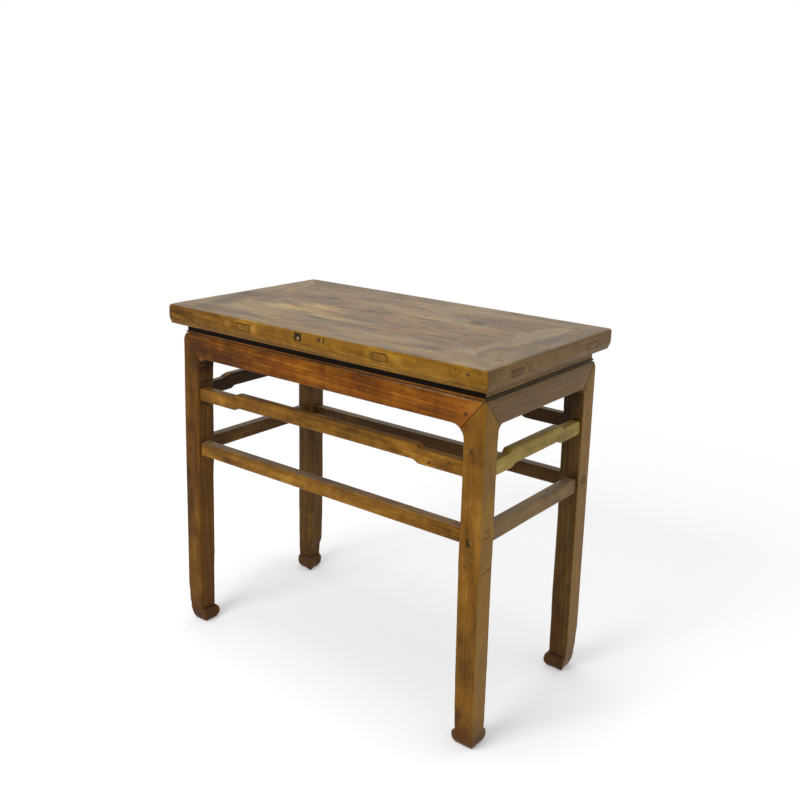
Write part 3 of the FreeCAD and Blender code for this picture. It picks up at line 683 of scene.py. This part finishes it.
def put_marks(t, color, p, jitter, axis, marks):
    """Lays spots on the wood: centre and radii, tint, strength and the soft share of the radius.
    A square one is clean and even. A wide one, with a radius over 60 mm, sways and is ragged."""
    near = t.vector("ADD", p, jitter)
    swayed = t.vector("ADD", p, t.shake(p, grained(axis, 8, 24), 0.7, grained(axis, 0.25, 0.05)))
    ragged = t.ramp(t.noise(p, grained(axis, 12, 90), 3.0, 0.7, 0.5), 0.36, 0.58, 0.65, 1.15)
    for centre, radii, tint, strength, soft, *square in marks:
        wide = not square and max(radii) > 60
        place = p if square else swayed if wide else near
        away = t.vector("SUBTRACT", place, tuple(c / 1000 for c in centre))
        away = t.vector("MULTIPLY", away, tuple(1000 / r for r in radii))
        away = t.box_length(away) if square else t.vector("LENGTH", away)
        cover = t.ramp(away, 1.0 - soft, 1.0, strength, 0.0)
        if wide:
            cover = t.math("MULTIPLY", cover, ragged, clamp=True)
        color = t.mix(cover, color, lin(*tint))
    return color


def put_lines(t, color, p, jitter, lines):
    """Draws cracks, joints and a painted shadow line along a seam: start, end, width and strength. Gives the
    colour and the cut.
    """
    cut = None
    fine = t.vector("ADD", p, t.vector("MULTIPLY", jitter, (0.15, 0.15, 0.15)))
    for start, end, width, strength in lines:
        a, b = (tuple(c / 1000 for c in q) for q in (start, end))
        run = tuple(v - u for u, v in zip(a, b))
        length2 = sum(v * v for v in run)
        rel = t.vector("SUBTRACT", fine, a)
        along = t.math("DIVIDE", t.vector("DOT_PRODUCT", rel, run), length2, clamp=True)
        along = t.node("ShaderNodeCombineXYZ", {0: along, 1: along, 2: along}).outputs[0]
        away = t.vector("LENGTH", t.vector("SUBTRACT", rel, t.vector("MULTIPLY", along, run)))
        hit = t.ramp(away, width / 2000, width / 1000, strength, 0.0)
        color = t.mix(hit, color, lin(22, 13, 7))
        cut = hit if cut is None else t.math("MAXIMUM", cut, hit)
    return color, cut


def put_crust(t, color, p, crust):
    """Flakes of glue and dust in a box with two corners, more of them to the right."""
    middle = tuple((a + b) / 2000 for a, b in zip(*crust))
    half = tuple(2000 / (b - a) for a, b in zip(*crust))
    away = t.box_length(t.vector("MULTIPLY", t.vector("SUBTRACT", p, middle), half))
    flakes = t.ramp(t.noise(p, (210, 330, 330), 3.0, 0.7), 0.47, 0.56)
    more = t.ramp(t.parts(p)[0], crust[0][0] / 1000, crust[1][0] / 1000, 0.35, 1.0)
    flakes = t.times(t.times(flakes, t.ramp(away, 0.75, 1.0, 0.7, 0.0)), more)
    return t.mix(flakes, color, lin(132, 124, 112))


def new_material(name):
    material = bpy.data.materials.new(name)
    material.use_nodes = True
    return material, Tree(material.node_tree), material.node_tree.nodes["Principled BSDF"]


# Where the pith lies beside a piece, across the grain
PITH = (0.06, 0.09)


def wood(name, axis, seed, dark, mid, light, ring=230.0, bands=0.3, stain=0.5, haze=0.5, inner=0.6,
         rough=0.42, marks=(), lines=(), low=None, grime=1.0, crust=None, facing=(), gloss=0.13):
    """A wood material. The grain runs along axis. haze is the film of dust and painted sheen on what faces
    up, grime the dirt and painted shade in seams, inner how far painted shade dims the inner faces and
    undersides, and low the height below which a foot darkens."""
    material, t, shader = new_material(name)
    normal = t.node("ShaderNodeNewGeometry").outputs["Normal"]
    p = t.node("ShaderNodeTexCoord").outputs["Object"]
    xyz = t.parts(p)
    order = {"x": (0, 1, 2), "y": (1, 0, 2), "z": (2, 0, 1)}[axis]
    turned = t.node("ShaderNodeCombineXYZ", {i: xyz[order[i]] for i in range(3)}).outputs[0]
    turned = t.vector("ADD", turned, (seed * 3.17 % 11.0, PITH[0] + (seed * 0.013 % 0.02), PITH[1]))
    color, height, shine = t.node("ShaderNodeGroup", {
        "Vector": turned, "Ring": ring, "Dark": dark, "Mid": mid, "Light": light, "Bands": bands,
        "Stain": stain}, node_tree=FIGURE).outputs
    # arrises are rubbed lighter
    grit = t.noise(p, (60, 60, 60), 3.0, 0.6)
    edge = t.times(t.attribute("edge"), t.ramp(grit, 0.3, 0.7))
    color = t.mix(t.times(edge, 0.35), color, t.mix(0.5, color, light))
    # dust and painted sheen, as a hazy film on what faces up
    up = t.ramp(t.parts(normal)[2], 0.55, 0.95)
    thick = t.ramp(t.noise(p, grained(axis, 4, 11), 3.0, 0.6, 0.5), 0.2, 0.8, 0.6, 1.0)
    dusty_sheen_share = t.times(t.times(up, thick), haze)
    color = t.mix(dusty_sheen_share, color, dusty_sheen_film(t, p, axis))
    # painted light and shade on faces that look one way, then the piece's spots and cracks, a few of them
    # painted shade and highlights
    jitter = t.shake(p, (100, 100, 100), 0.65, (0.011, 0.011, 0.011))
    color = put_facing(t, color, normal, height, facing)
    color = put_marks(t, color, p, jitter, axis, marks)
    color, cut = put_lines(t, color, p, jitter, lines)
    if crust:
        color = put_crust(t, color, p, crust)
    # dirt and painted shade in hollows and seams, painted shade on inner faces and undersides, and a foot
    # darker towards the floor
    seam = t.ramp(t.plus(t.attribute("seam"), t.times(grit, 0.35)), 0.75, 1.25)
    hollow = t.times(t.ramp(t.attribute("hollow"), 0.15, 0.8), 0.7)
    dirt_and_shade = t.math("MAXIMUM", t.times(seam, 0.75 * grime), hollow)
    color = t.darker(dirt_and_shade, color, 0.8, lin(30, 19, 10))
    # the inner faces and undersides are dimmed with painted shade
    inside = t.math("MULTIPLY", t.attribute("inner"), inner, clamp=True)
    color = t.darker(inside, color, 0.62, lin(34, 20, 12))
    # the foot darkens towards the floor
    if low is not None:
        uneven = t.plus(xyz[2], t.times(t.centred(grit), 0.09))
        color = t.darker(t.ramp(uneven, 0.0, low, 0.75, 0.0), color, 0.7, lin(58, 29, 14))
    t.put(shader.inputs["Base Color"], color)
    shader.inputs["Specular IOR Level"].default_value = gloss
    shader.inputs["Specular Tint"].default_value = (1.0, 0.8, 0.52, 1.0)
    matter = t.plus(t.times(dirt_and_shade, 0.25), t.times(dusty_sheen_share, 0.1))
    t.put(shader.inputs["Roughness"], t.math("ADD", t.plus(shine, rough), matter, clamp=True))
    if cut is not None:
        height = t.math("SUBTRACT", height, t.times(cut, 1.5))
    bump = t.node("ShaderNodeBump", {"Strength": 0.5, "Distance": 0.00035, "Height": height})
    t.put(shader.inputs["Normal"], bump.outputs[0])
    return material


def tones(dark, mid, light):
    """The three colours of a wood, from 0-255 screen values."""
    return dict(dark=lin(*dark), mid=lin(*mid), light=lin(*light))


AMBER = tones((76, 45, 9), (118, 78, 19), (158, 114, 40))
GOLD = tones((88, 54, 9), (123, 84, 18), (164, 120, 37))
HONEY = tones((82, 50, 12), (114, 75, 20), (142, 100, 34))
# the next tone is a darker copy for the front left leg, painted shade for the dimmer light at the table's
# left
AMBER_IN_SHADE = tones((60, 35, 9), (94, 59, 16), (124, 85, 27))
RED = tones((76, 38, 9), (114, 62, 12), (149, 93, 22))
BROWN = tones((62, 39, 14), (94, 63, 23), (126, 90, 38))
OLIVE = tones((108, 87, 34), (148, 123, 57), (176, 154, 82))
BLACK = tones((3, 2, 2), (6, 5, 4), (18, 13, 8))
GREYED = tones((84, 61, 31), (108, 80, 41), (130, 101, 56))
PALE = tones((86, 64, 36), (121, 95, 55), (146, 118, 74))
SHADED = tones((34, 25, 16), (54, 41, 26), (74, 57, 37))
WARM = tones((78, 52, 22), (114, 83, 37), (146, 113, 58))
FRESH = tones((110, 96, 70), (150, 132, 96), (180, 164, 126))

# Tints of the marks, as 0-255 screen values, and the height of the table's top in their millimetres
BLUE, SMOKE, SAND, UMBER = (62, 56, 58), (58, 44, 34), (200, 166, 104), (94, 80, 68)
# the first tint here is painted shade on the front left leg's inner face, with some grime at the stretcher's
# joint
SHADE_AND_GRIME, NAIL, MOLE = (24, 15, 9), (70, 46, 24), (26, 17, 11)
PLANE = 1000 * TOP


def flat(*rows):
    """Marks on the table's top: x and y, their radii, tint, strength and the soft share."""
    thick = 9
    return [((x, y, PLANE), (radius_x, radius_y, thick), *rest) for x, y, radius_x, radius_y, *rest in rows]


def dress_top(look):
    """The rails, the boards, the plug and the battens, and the apron's peg."""
    front_marks = [
        # painted shade in the groove under the rail's lip
        ((0, -258, 798.2), (463, 14, 1.6), (46, 27, 10), 0.65, 0.7, "square"),
        ((-29.3, -260, 826.5), (11.7, 6, 10), (24, 18, 13), 0.92, 0.18, "square"),
        ((35, -260, 831), (10.5, 8, 6), NAIL, 0.5, 0.3, "square"),
        ((34, -260, 830), (3.2, 6, 6), (34, 22, 13), 0.85, 0.5, "square"),
        ((40.5, -260, 829), (3, 6, 6), (168, 128, 66), 0.5, 0.5, "square"),
        ((463, -152, 816), (8, 23, 8), (90, 64, 38), 0.8, 0.2, "square"),
        ((416.5, -260, 823.5), (6, 5, 6), (60, 44, 32), 0.85, 0.7),
        ((396, -260, 827), (3, 3, 3), (50, 32, 20), 0.8, 0.5),
        ((388, -260, 829), (3, 3, 2), (50, 32, 20), 0.7, 0.5),
        ((392, -260, 802), (30, 6, 6), (62, 38, 20), 0.6, 0.6),
        # the left end is darker, painted shade for the dimmer light there
        ((-400, -262, 812), (170, 30, 60), (74, 38, 2), 0.85, 0.9),
        ((60, -262, 806), (100, 30, 12), (84, 52, 20), 0.4, 0.9),
        ((320, -262, 814), (120, 30, 22), (164, 122, 46), 0.4, 0.9),
        ((-252, -260, 823), (20, 6, 12), (160, 116, 42), 0.5, 0.8),
        ((-166, -260, 822), (16, 6, 14), (176, 130, 52), 0.6, 0.8),
        ((246, -260, 822), (20, 6, 14), (166, 122, 48), 0.5, 0.8),
        ((166, -260, 824), (10, 6, 10), (160, 116, 42), 0.4, 0.8)] + flat(
        (0, -150, 300, 20, (122, 108, 92), 0.5, 0.8),
        (-400, -200, 110, 60, UMBER, 0.7, 0.9),
        (75, -230, 40, 14, BLUE, 0.35, 0.9),
        (360, -150, 70, 40, (176, 150, 112), 0.4, 0.9),
        (269, -180, 60, 30, BLUE, 0.45, 0.9),
        (429, -187, 16, 9, SMOKE, 0.6, 0.8))
    front_lines = [
        # painted shadow of the step between the front rail and the board
        ((-106, -130, PLANE), (93, -130, PLANE), 5.0, 0.5),
        ((-300, -130, PLANE), (-110, -130, PLANE), 4.0, 0.25),
        ((25, -260, 836), (25, -260, 825), 1.6, 0.4),
        ((25, -260, 826), (46, -260, 826), 1.2, 0.5),
        ((46, -260, 826), (46, -260, 837), 2.6, 0.9),
        ((377, -260, 814), (374, -260, 826), 1.0, 0.7),
        ((374, -260, 826), (378, -260, 832), 1.0, 0.5)]
    # dark lines round the battens' tenons
    tenons, half_width, face, bottom, above = (-200, 200), 19, -260, 813, 828
    for middle in tenons:
        left, right = middle - half_width, middle + half_width
        corners = [(left, face, bottom), (right, face, bottom), (right, face, above), (left, face, above)]
        front_lines += [(corners[i - 1], corners[i], 2.6, 0.32) for i in (1, 2, 3, 0)]
    back_marks = [
        # painted shade in the groove under the rail's lip
        ((0, 258, 798.2), (463, 14, 1.6), (46, 30, 14), 0.5, 0.7, "square"),
        ((463, 167, 816), (8, 24, 8), (108, 86, 58), 0.8, 0.2, "square")] + flat(
        (-361, 150, 26, 12, BLUE, 0.6, 0.7),
        (-307, 225, 9, 6, (44, 32, 24), 0.8, 0.5))
    left_marks = [
        # painted shade in the groove under the rail's lip
        ((-461, 0, 798.2), (14, 262, 1.6), (46, 30, 14), 0.5, 0.7, "square")] + flat(
        (-400, -60, 70, 190, (94, 80, 66), 0.8, 0.9),
        (-386, -35, 14, 10, SMOKE, 0.6, 0.7),
        (-436, -25, 20, 40, SMOKE, 0.6, 0.8),
        (-400, -150, 30, 60, BLUE, 0.35, 0.9))
    right_marks = [
        # painted shade in the groove under the rail's lip
        ((461, 0, 798.2), (14, 262, 1.6), (52, 38, 24), 0.5, 0.7, "square"),
        ((463, -116, 816), (5, 7, 8), (136, 108, 76), 0.5, 0.5)] + flat(
        (347, -165, 28, 34, BLUE, 0.7, 0.7),
        (397, 200, 20, 26, BLUE, 0.6, 0.8),
        (340, 144, 22, 30, BLUE, 0.4, 0.9),
        (435, -171, 9, 9, SMOKE, 0.6, 0.7),
        (400, 40, 40, 120, BLUE, 0.25, 0.9))
    panel_marks = flat(
        (-210, -78, 170, 46, SAND, 0.7, 0.95),
        (120, 60, 190, 16, SAND, 0.4, 0.9),
        (-60, -100, 120, 18, SAND, 0.6, 0.9),
        (-165, -22, 140, 36, SAND, 0.8, 0.95),
        (-350, -40, 70, 150, UMBER, 0.7, 0.9),
        (200, -70, 110, 14, SAND, 0.4, 0.9),
        (330, 60, 60, 70, (172, 154, 124), 0.4, 0.9),
        (-226, 75, 26, 20, BLUE, 0.6, 0.7),
        (-128, 7, 10, 8, SMOKE, 0.7, 0.6),
        (-56, 23, 16, 12, SMOKE, 0.6, 0.7),
        (-14, 35, 46, 40, BLUE, 0.5, 0.9),
        (207, 89, 34, 26, BLUE, 0.6, 0.8),
        (244, 128, 70, 30, BLUE, 0.55, 0.9),
        (259, -34, 14, 12, SMOKE, 0.6, 0.7),
        (147, -38, 12, 10, SMOKE, 0.6, 0.7),
        (177, -16, 14, 9, SMOKE, 0.5, 0.7),
        (73, 72, 6, 6, (40, 28, 20), 0.8, 0.5),
        (17, 132, 18, 10, SMOKE, 0.5, 0.7),
        (-290, -60, 20, 16, SMOKE, 0.4, 0.8))
    look("top_rail_front", GOLD, haze=0.8, gloss=0.14, grime=0.2, marks=front_marks, lines=front_lines)
    look("top_rail_back", AMBER, haze=0.8, gloss=0.16, grime=0.2, marks=back_marks)
    look("top_rail_left", AMBER, haze=0.8, gloss=0.16, grime=0.2, marks=left_marks)
    look("top_rail_right", GREYED, haze=0.75, gloss=0.16, grime=0.2, marks=right_marks)
    look("panel_board_front", AMBER, haze=0.7, gloss=0.17, grime=0.2, marks=panel_marks)
    look("panel_board_back", AMBER, haze=0.75, gloss=0.17, grime=0.2, marks=panel_marks)
    look("rail_plug", FRESH)
    look("apron_peg", BROWN)
    tenon_marks = [((x, -256, 820), (24, 14, 12), (128, 92, 34), 0.4, 0.3, "square") for x in tenons]
    for side in ("left", "right"):
        look("batten_" + side, AMBER, grime=0.5, marks=tenon_marks)


def dress_waist(look):
    """The waist boards and the mouldings. The front and back boards are black."""
    for side in ("front", "back"):
        look("waist_board_" + side, BLACK, stain=0.9, gloss=0.08, rough=0.6)
    for side in ("left", "right"):
        look("waist_board_" + side, GREYED)
    for side, tone in zip(SIDES, (RED, RED, BROWN, SHADED)):
        look("waist_moulding_" + side, tone)


def dress_aprons(look):
    glue = ((104, -233, 762.5), (440, -216, 769.5))
    look("apron_front", RED, bands=0.5, ring=200, gloss=0.09, crust=glue, marks=[
        ((-330, -229, 738), (230, 12, 70), (66, 36, 13), 0.9, 0.8),
        # painted shade on the underside of the apron's left corner
        ((-385, -200, 702), (26, 29, 20), (28, 17, 10), 0.85, 0.3),
        ((400, -229, 735), (110, 12, 60), (152, 92, 32), 0.5, 0.9),
        ((436, -229, 738), (64, 12, 60), (158, 106, 36), 0.6, 0.9),
        ((118, -229, 736), (7, 5, 5), (70, 38, 20), 0.85, 0.6),
        ((60, -229, 752), (9, 5, 3), (80, 44, 22), 0.6, 0.6),
        ((280, -229, 728), (8, 5, 4), (84, 46, 22), 0.6, 0.6)])
    for side in ("back", "left"):
        look("apron_" + side, BROWN, bands=0.5)
    # the right face takes a painted light tint
    look("apron_right", GREYED, bands=0.35, grime=0.5, facing=[((1, 0, 0), (118, 96, 69), 0.35)])


def dress_stretchers(look):
    """The humped stretchers, then the lower ones, with the tenon ends that show on the legs."""
    look("hump_stretcher_front", AMBER, haze=0.12, marks=[
        ((309, -226, 610), (6, 6, 5), (52, 32, 18), 0.85, 0.5),
        ((357, -226, 623), (6, 6, 4), (52, 32, 18), 0.7, 0.5),
        ((330, -226, 616), (40, 8, 12), (96, 62, 28), 0.5, 0.9)])
    look("hump_stretcher_back", BROWN, inner=0.95)
    # the inner face takes a painted shade tint, and the front end's ogee a painted highlight
    look("hump_stretcher_left", BROWN, haze=0.25, inner=1.0, facing=[((1, 0, 0), (54, 44, 34), 0.6)], marks=[
        ((-427, -105, 641), (16, 14, 8), (150, 108, 44), 0.8, 0.6),
        ((-414, -106, 635), (6, 13, 8), (138, 98, 40), 0.65, 0.8)])
    # the top takes a painted highlight tint
    look("hump_stretcher_right", OLIVE, haze=0.1, bands=0.15, stain=0.25,
         facing=[((0, 0, 1), (146, 122, 62), 0.6)])
    look("lower_stretcher_front", AMBER, grime=0.25, marks=[
        ((-45, -224, 468), (2, 5, 8), (40, 26, 16), 0.8, 0.6),
        ((443, -205, 482), (10, 14, 12), (126, 96, 42), 0.8, 0.2, "square")],
        lines=[((20, -224, 488), (390, -224, 488), 0.9, 0.5)])
    look("lower_stretcher_back", BROWN, inner=0.9, marks=[
        ((443, 203, 483.6), (10, 9, 10), (102, 78, 48), 0.6, 0.2, "square")])
    look("lower_stretcher_left", BROWN, inner=0.35)
    look("lower_stretcher_right", PALE, grime=0.5, marks=[
        ((420, -229, 465), (14, 8, 12), (112, 74, 22), 0.8, 0.2, "square"),
        ((416.5, -229, 464), (4, 6, 7.5), (30, 19, 10), 0.9, 0.5)],
        lines=[((413.5, -229, 458.5), (413, -229, 472), 3.0, 0.9)])


def creases(side, end):
    """The dark cut above a foot's toe, on the leg's two inner faces."""
    dark = (28, 18, 11)
    above = (50, 36, 25)
    return [((side * 393, end * 201, 33.5), (11, 26, 4.0), above, 0.6, 0.5, "square"),
            ((side * 413, end * 179, 33.5), (26, 11, 4.0), above, 0.6, 0.5, "square"),
            ((side * 395, end * 201, 35.8), (8, 24, 2.6), dark, 0.9, 0.5, "square"),
            ((side * 415, end * 181, 35.8), (24, 8, 2.6), dark, 0.9, 0.5, "square")]


def dress_legs(look):
    # darker wood as painted shade, painted shade on the inner face's top and round the stretcher's joint,
    # partly grime, and painted light on that face
    look("leg_front_left", AMBER_IN_SHADE, low=0.12, grime=0.7, inner=0.4, gloss=0.08, marks=creases(-1, -1) + [
        ((-390, -200, 700), (58, 60, 52), SHADE_AND_GRIME, 0.75, 0.8),
        ((-391, -205, 592), (8, 34, 12), SHADE_AND_GRIME, 0.7, 0.8),
        ((-391, -205, 646), (8, 34, 10), SHADE_AND_GRIME, 0.6, 0.8),
        ((-391, -190, 618), (8, 10, 30), SHADE_AND_GRIME, 0.7, 0.8)],
        facing=[((1, 0, 0), (124, 84, 41), 0.5)])
    # the right face takes a painted light tint
    look("leg_front_right", HONEY, bands=0.15, low=0.12, grime=0.25, marks=creases(1, -1) + [
        ((416, -229, 22), (46, 10, 34), (92, 44, 16), 0.5, 0.8),
        ((443, -200, 18), (8, 34, 30), (62, 46, 26), 0.6, 0.8),
        ((412, -229, 658), (7, 6, 9), (62, 40, 22), 0.85, 0.7),
        ((410, -229, 413), (5, 5, 9), NAIL, 0.7, 0.7),
        ((428, -229, 390), (4, 5, 12), NAIL, 0.7, 0.7),
        ((409, -229, 76), (9, 6, 20), (64, 38, 22), 0.7, 0.8)],
        lines=[((443, -219, 402), (443, -185, 404), 1.4, 0.85),
               ((412.5, -229, 459), (412.5, -229, 472), 3.0, 0.95),
               ((412, -229, 458.5), (428, -229, 458.5), 1.4, 0.5)],
        facing=[((1, 0, 0), (135, 101, 37), 0.6)])
    look("leg_back_left", BROWN, low=0.12, grime=0.7, inner=0.3, marks=creases(-1, 1)[:3] + [
        ((-436, 178, 140), (5, 6, 4), MOLE, 0.8, 0.6),
        ((-410, 178, 128), (6, 6, 8), MOLE, 0.8, 0.6)],
        lines=[((-397, 183, 566), (-397, 183, 524), 4.0, 0.8)])
    # painted shade at the top of the inner faces, and a painted light tint on the right face
    look("leg_back_right", WARM, low=0.12, grime=0.35, inner=0.9, marks=creases(1, 1) + [
        ((400, 180, 700), (60, 60, 95), (20, 12, 7), 0.75, 0.6),
        ((395, 200, 110), (12, 40, 110), (104, 54, 22), 0.6, 0.8),
        ((412, 181, 110), (24, 12, 110), (104, 54, 22), 0.6, 0.8),
        ((425, 183, 433), (5, 6, 8), (34, 20, 11), 0.8, 0.6)],
        facing=[((1, 0, 0), (132, 96, 42), 0.6)])


def dress(pieces):
    """Gives every piece its wood, each with the next seed. Grain runs up a leg and along everything else."""
    seeds = iter(range(1, 100))

    def look(node, tone, **more):
        axis = "z" if node.startswith("leg") else "x" if node.endswith(("front", "back")) else "y"
        data = pieces[node].data
        data.materials.clear()
        data.materials.append(wood(node, axis, next(seeds), **tone, **more))

    for part in (dress_top, dress_waist, dress_aprons, dress_stretchers, dress_legs):
        part(look)


# Floor, background and lamps
def background_ray(t):
    """1 for the rays that see the background: the camera's, and those a glossy or clear surface sends on."""
    rays = t.node("ShaderNodeLightPath").outputs
    bounced = t.math("MAXIMUM", rays["Is Glossy Ray"], rays["Is Transmission Ray"])
    return t.math("MAXIMUM", rays["Is Camera Ray"], bounced)


def add_floor():
    """A floor that fades into the white background, 0.9 to 2.4 m from the middle."""
    half = 20
    mesh = bpy.data.meshes.new("floor")
    corners = [(-half, -half, 0), (half, -half, 0), (half, half, 0), (-half, half, 0)]
    mesh.from_pydata(corners, [], [(0, 1, 2, 3)])
    floor = add_object("floor", mesh)
    material, t, shader = new_material("floor")
    seeing = background_ray(t)
    t.put(shader.inputs["Base Color"], t.mix(seeing, (0.735, 0.735, 0.735), (0.8, 0.8, 0.802)))
    shader.inputs["Roughness"].default_value = 0.9
    shader.inputs["Specular IOR Level"].default_value = 0.0
    plain = (1, 1, 1, 1)
    glow = t.node("ShaderNodeEmission", {"Color": plain, "Strength": 0.19}).outputs[0]
    white = t.node("ShaderNodeEmission", {"Color": plain, "Strength": 1.0}).outputs[0]
    both = t.node("ShaderNodeAddShader", {0: shader.outputs[0], 1: glow}).outputs[0]
    far = t.ramp(t.vector("LENGTH", t.node("ShaderNodeNewGeometry").outputs["Position"]), 0.9, 2.4)
    both = t.node("ShaderNodeMixShader", {0: far, 1: both, 2: white}).outputs[0]
    seen = t.node("ShaderNodeMixShader", {0: seeing, 1: shader.outputs[0], 2: both}).outputs[0]
    t.put(material.node_tree.nodes["Material Output"].inputs["Surface"], seen)
    mesh.materials.append(material)
    return floor


def add_world():
    """A white world, a little dimmer for the light that it gives than for the rays that see it."""
    world = bpy.data.worlds.new("world")
    bpy.context.scene.world = world
    world.use_nodes = True
    t = Tree(world.node_tree)
    back = world.node_tree.nodes["Background"]
    back.inputs[0].default_value = (1, 1, 1, 1)
    t.put(back.inputs[1], t.plus(0.75, t.times(background_ray(t), 0.25)))


def add_lamps(floor):
    """The key lights the table, and two lamps of their own give the floor its shadows."""
    floor_only, not_floor = (bpy.data.collections.new(name) for name in ("floor_only", "not_floor"))
    floor_only.objects.link(floor)
    not_floor.objects.link(floor)
    not_floor.collection_objects[0].light_linking.link_state = "EXCLUDE"
    for name, spot, aim, size, power, lit in (
            ("key", (0.3, -3.2, 2.5), (0, 0, 0.5), 1.6, 60, not_floor),
            ("floor_side", (-0.4, -3.0, 2.8), (0, 0, 0), 1.7, 79, floor_only),
            ("floor_above", (-0.1, 0.1, 3.6), (0, 0, 0), 1.6, 26, floor_only)):
        lamp = bpy.data.lights.new(name, "AREA")
        lamp.shape = "SQUARE"
        lamp.size = size
        lamp.energy = power
        made = add_object(name, lamp)
        made.location = spot
        made.rotation_euler = (Vector(aim) - Vector(spot)).to_track_quat("-Z", "Y").to_euler()
        made.light_linking.receiver_collection = lit


add_camera()
FIGURE = grain_group()
dress(build_pieces())
add_world()
add_lamps(add_floor())
bpy.context.scene.view_settings.view_transform = "Standard"
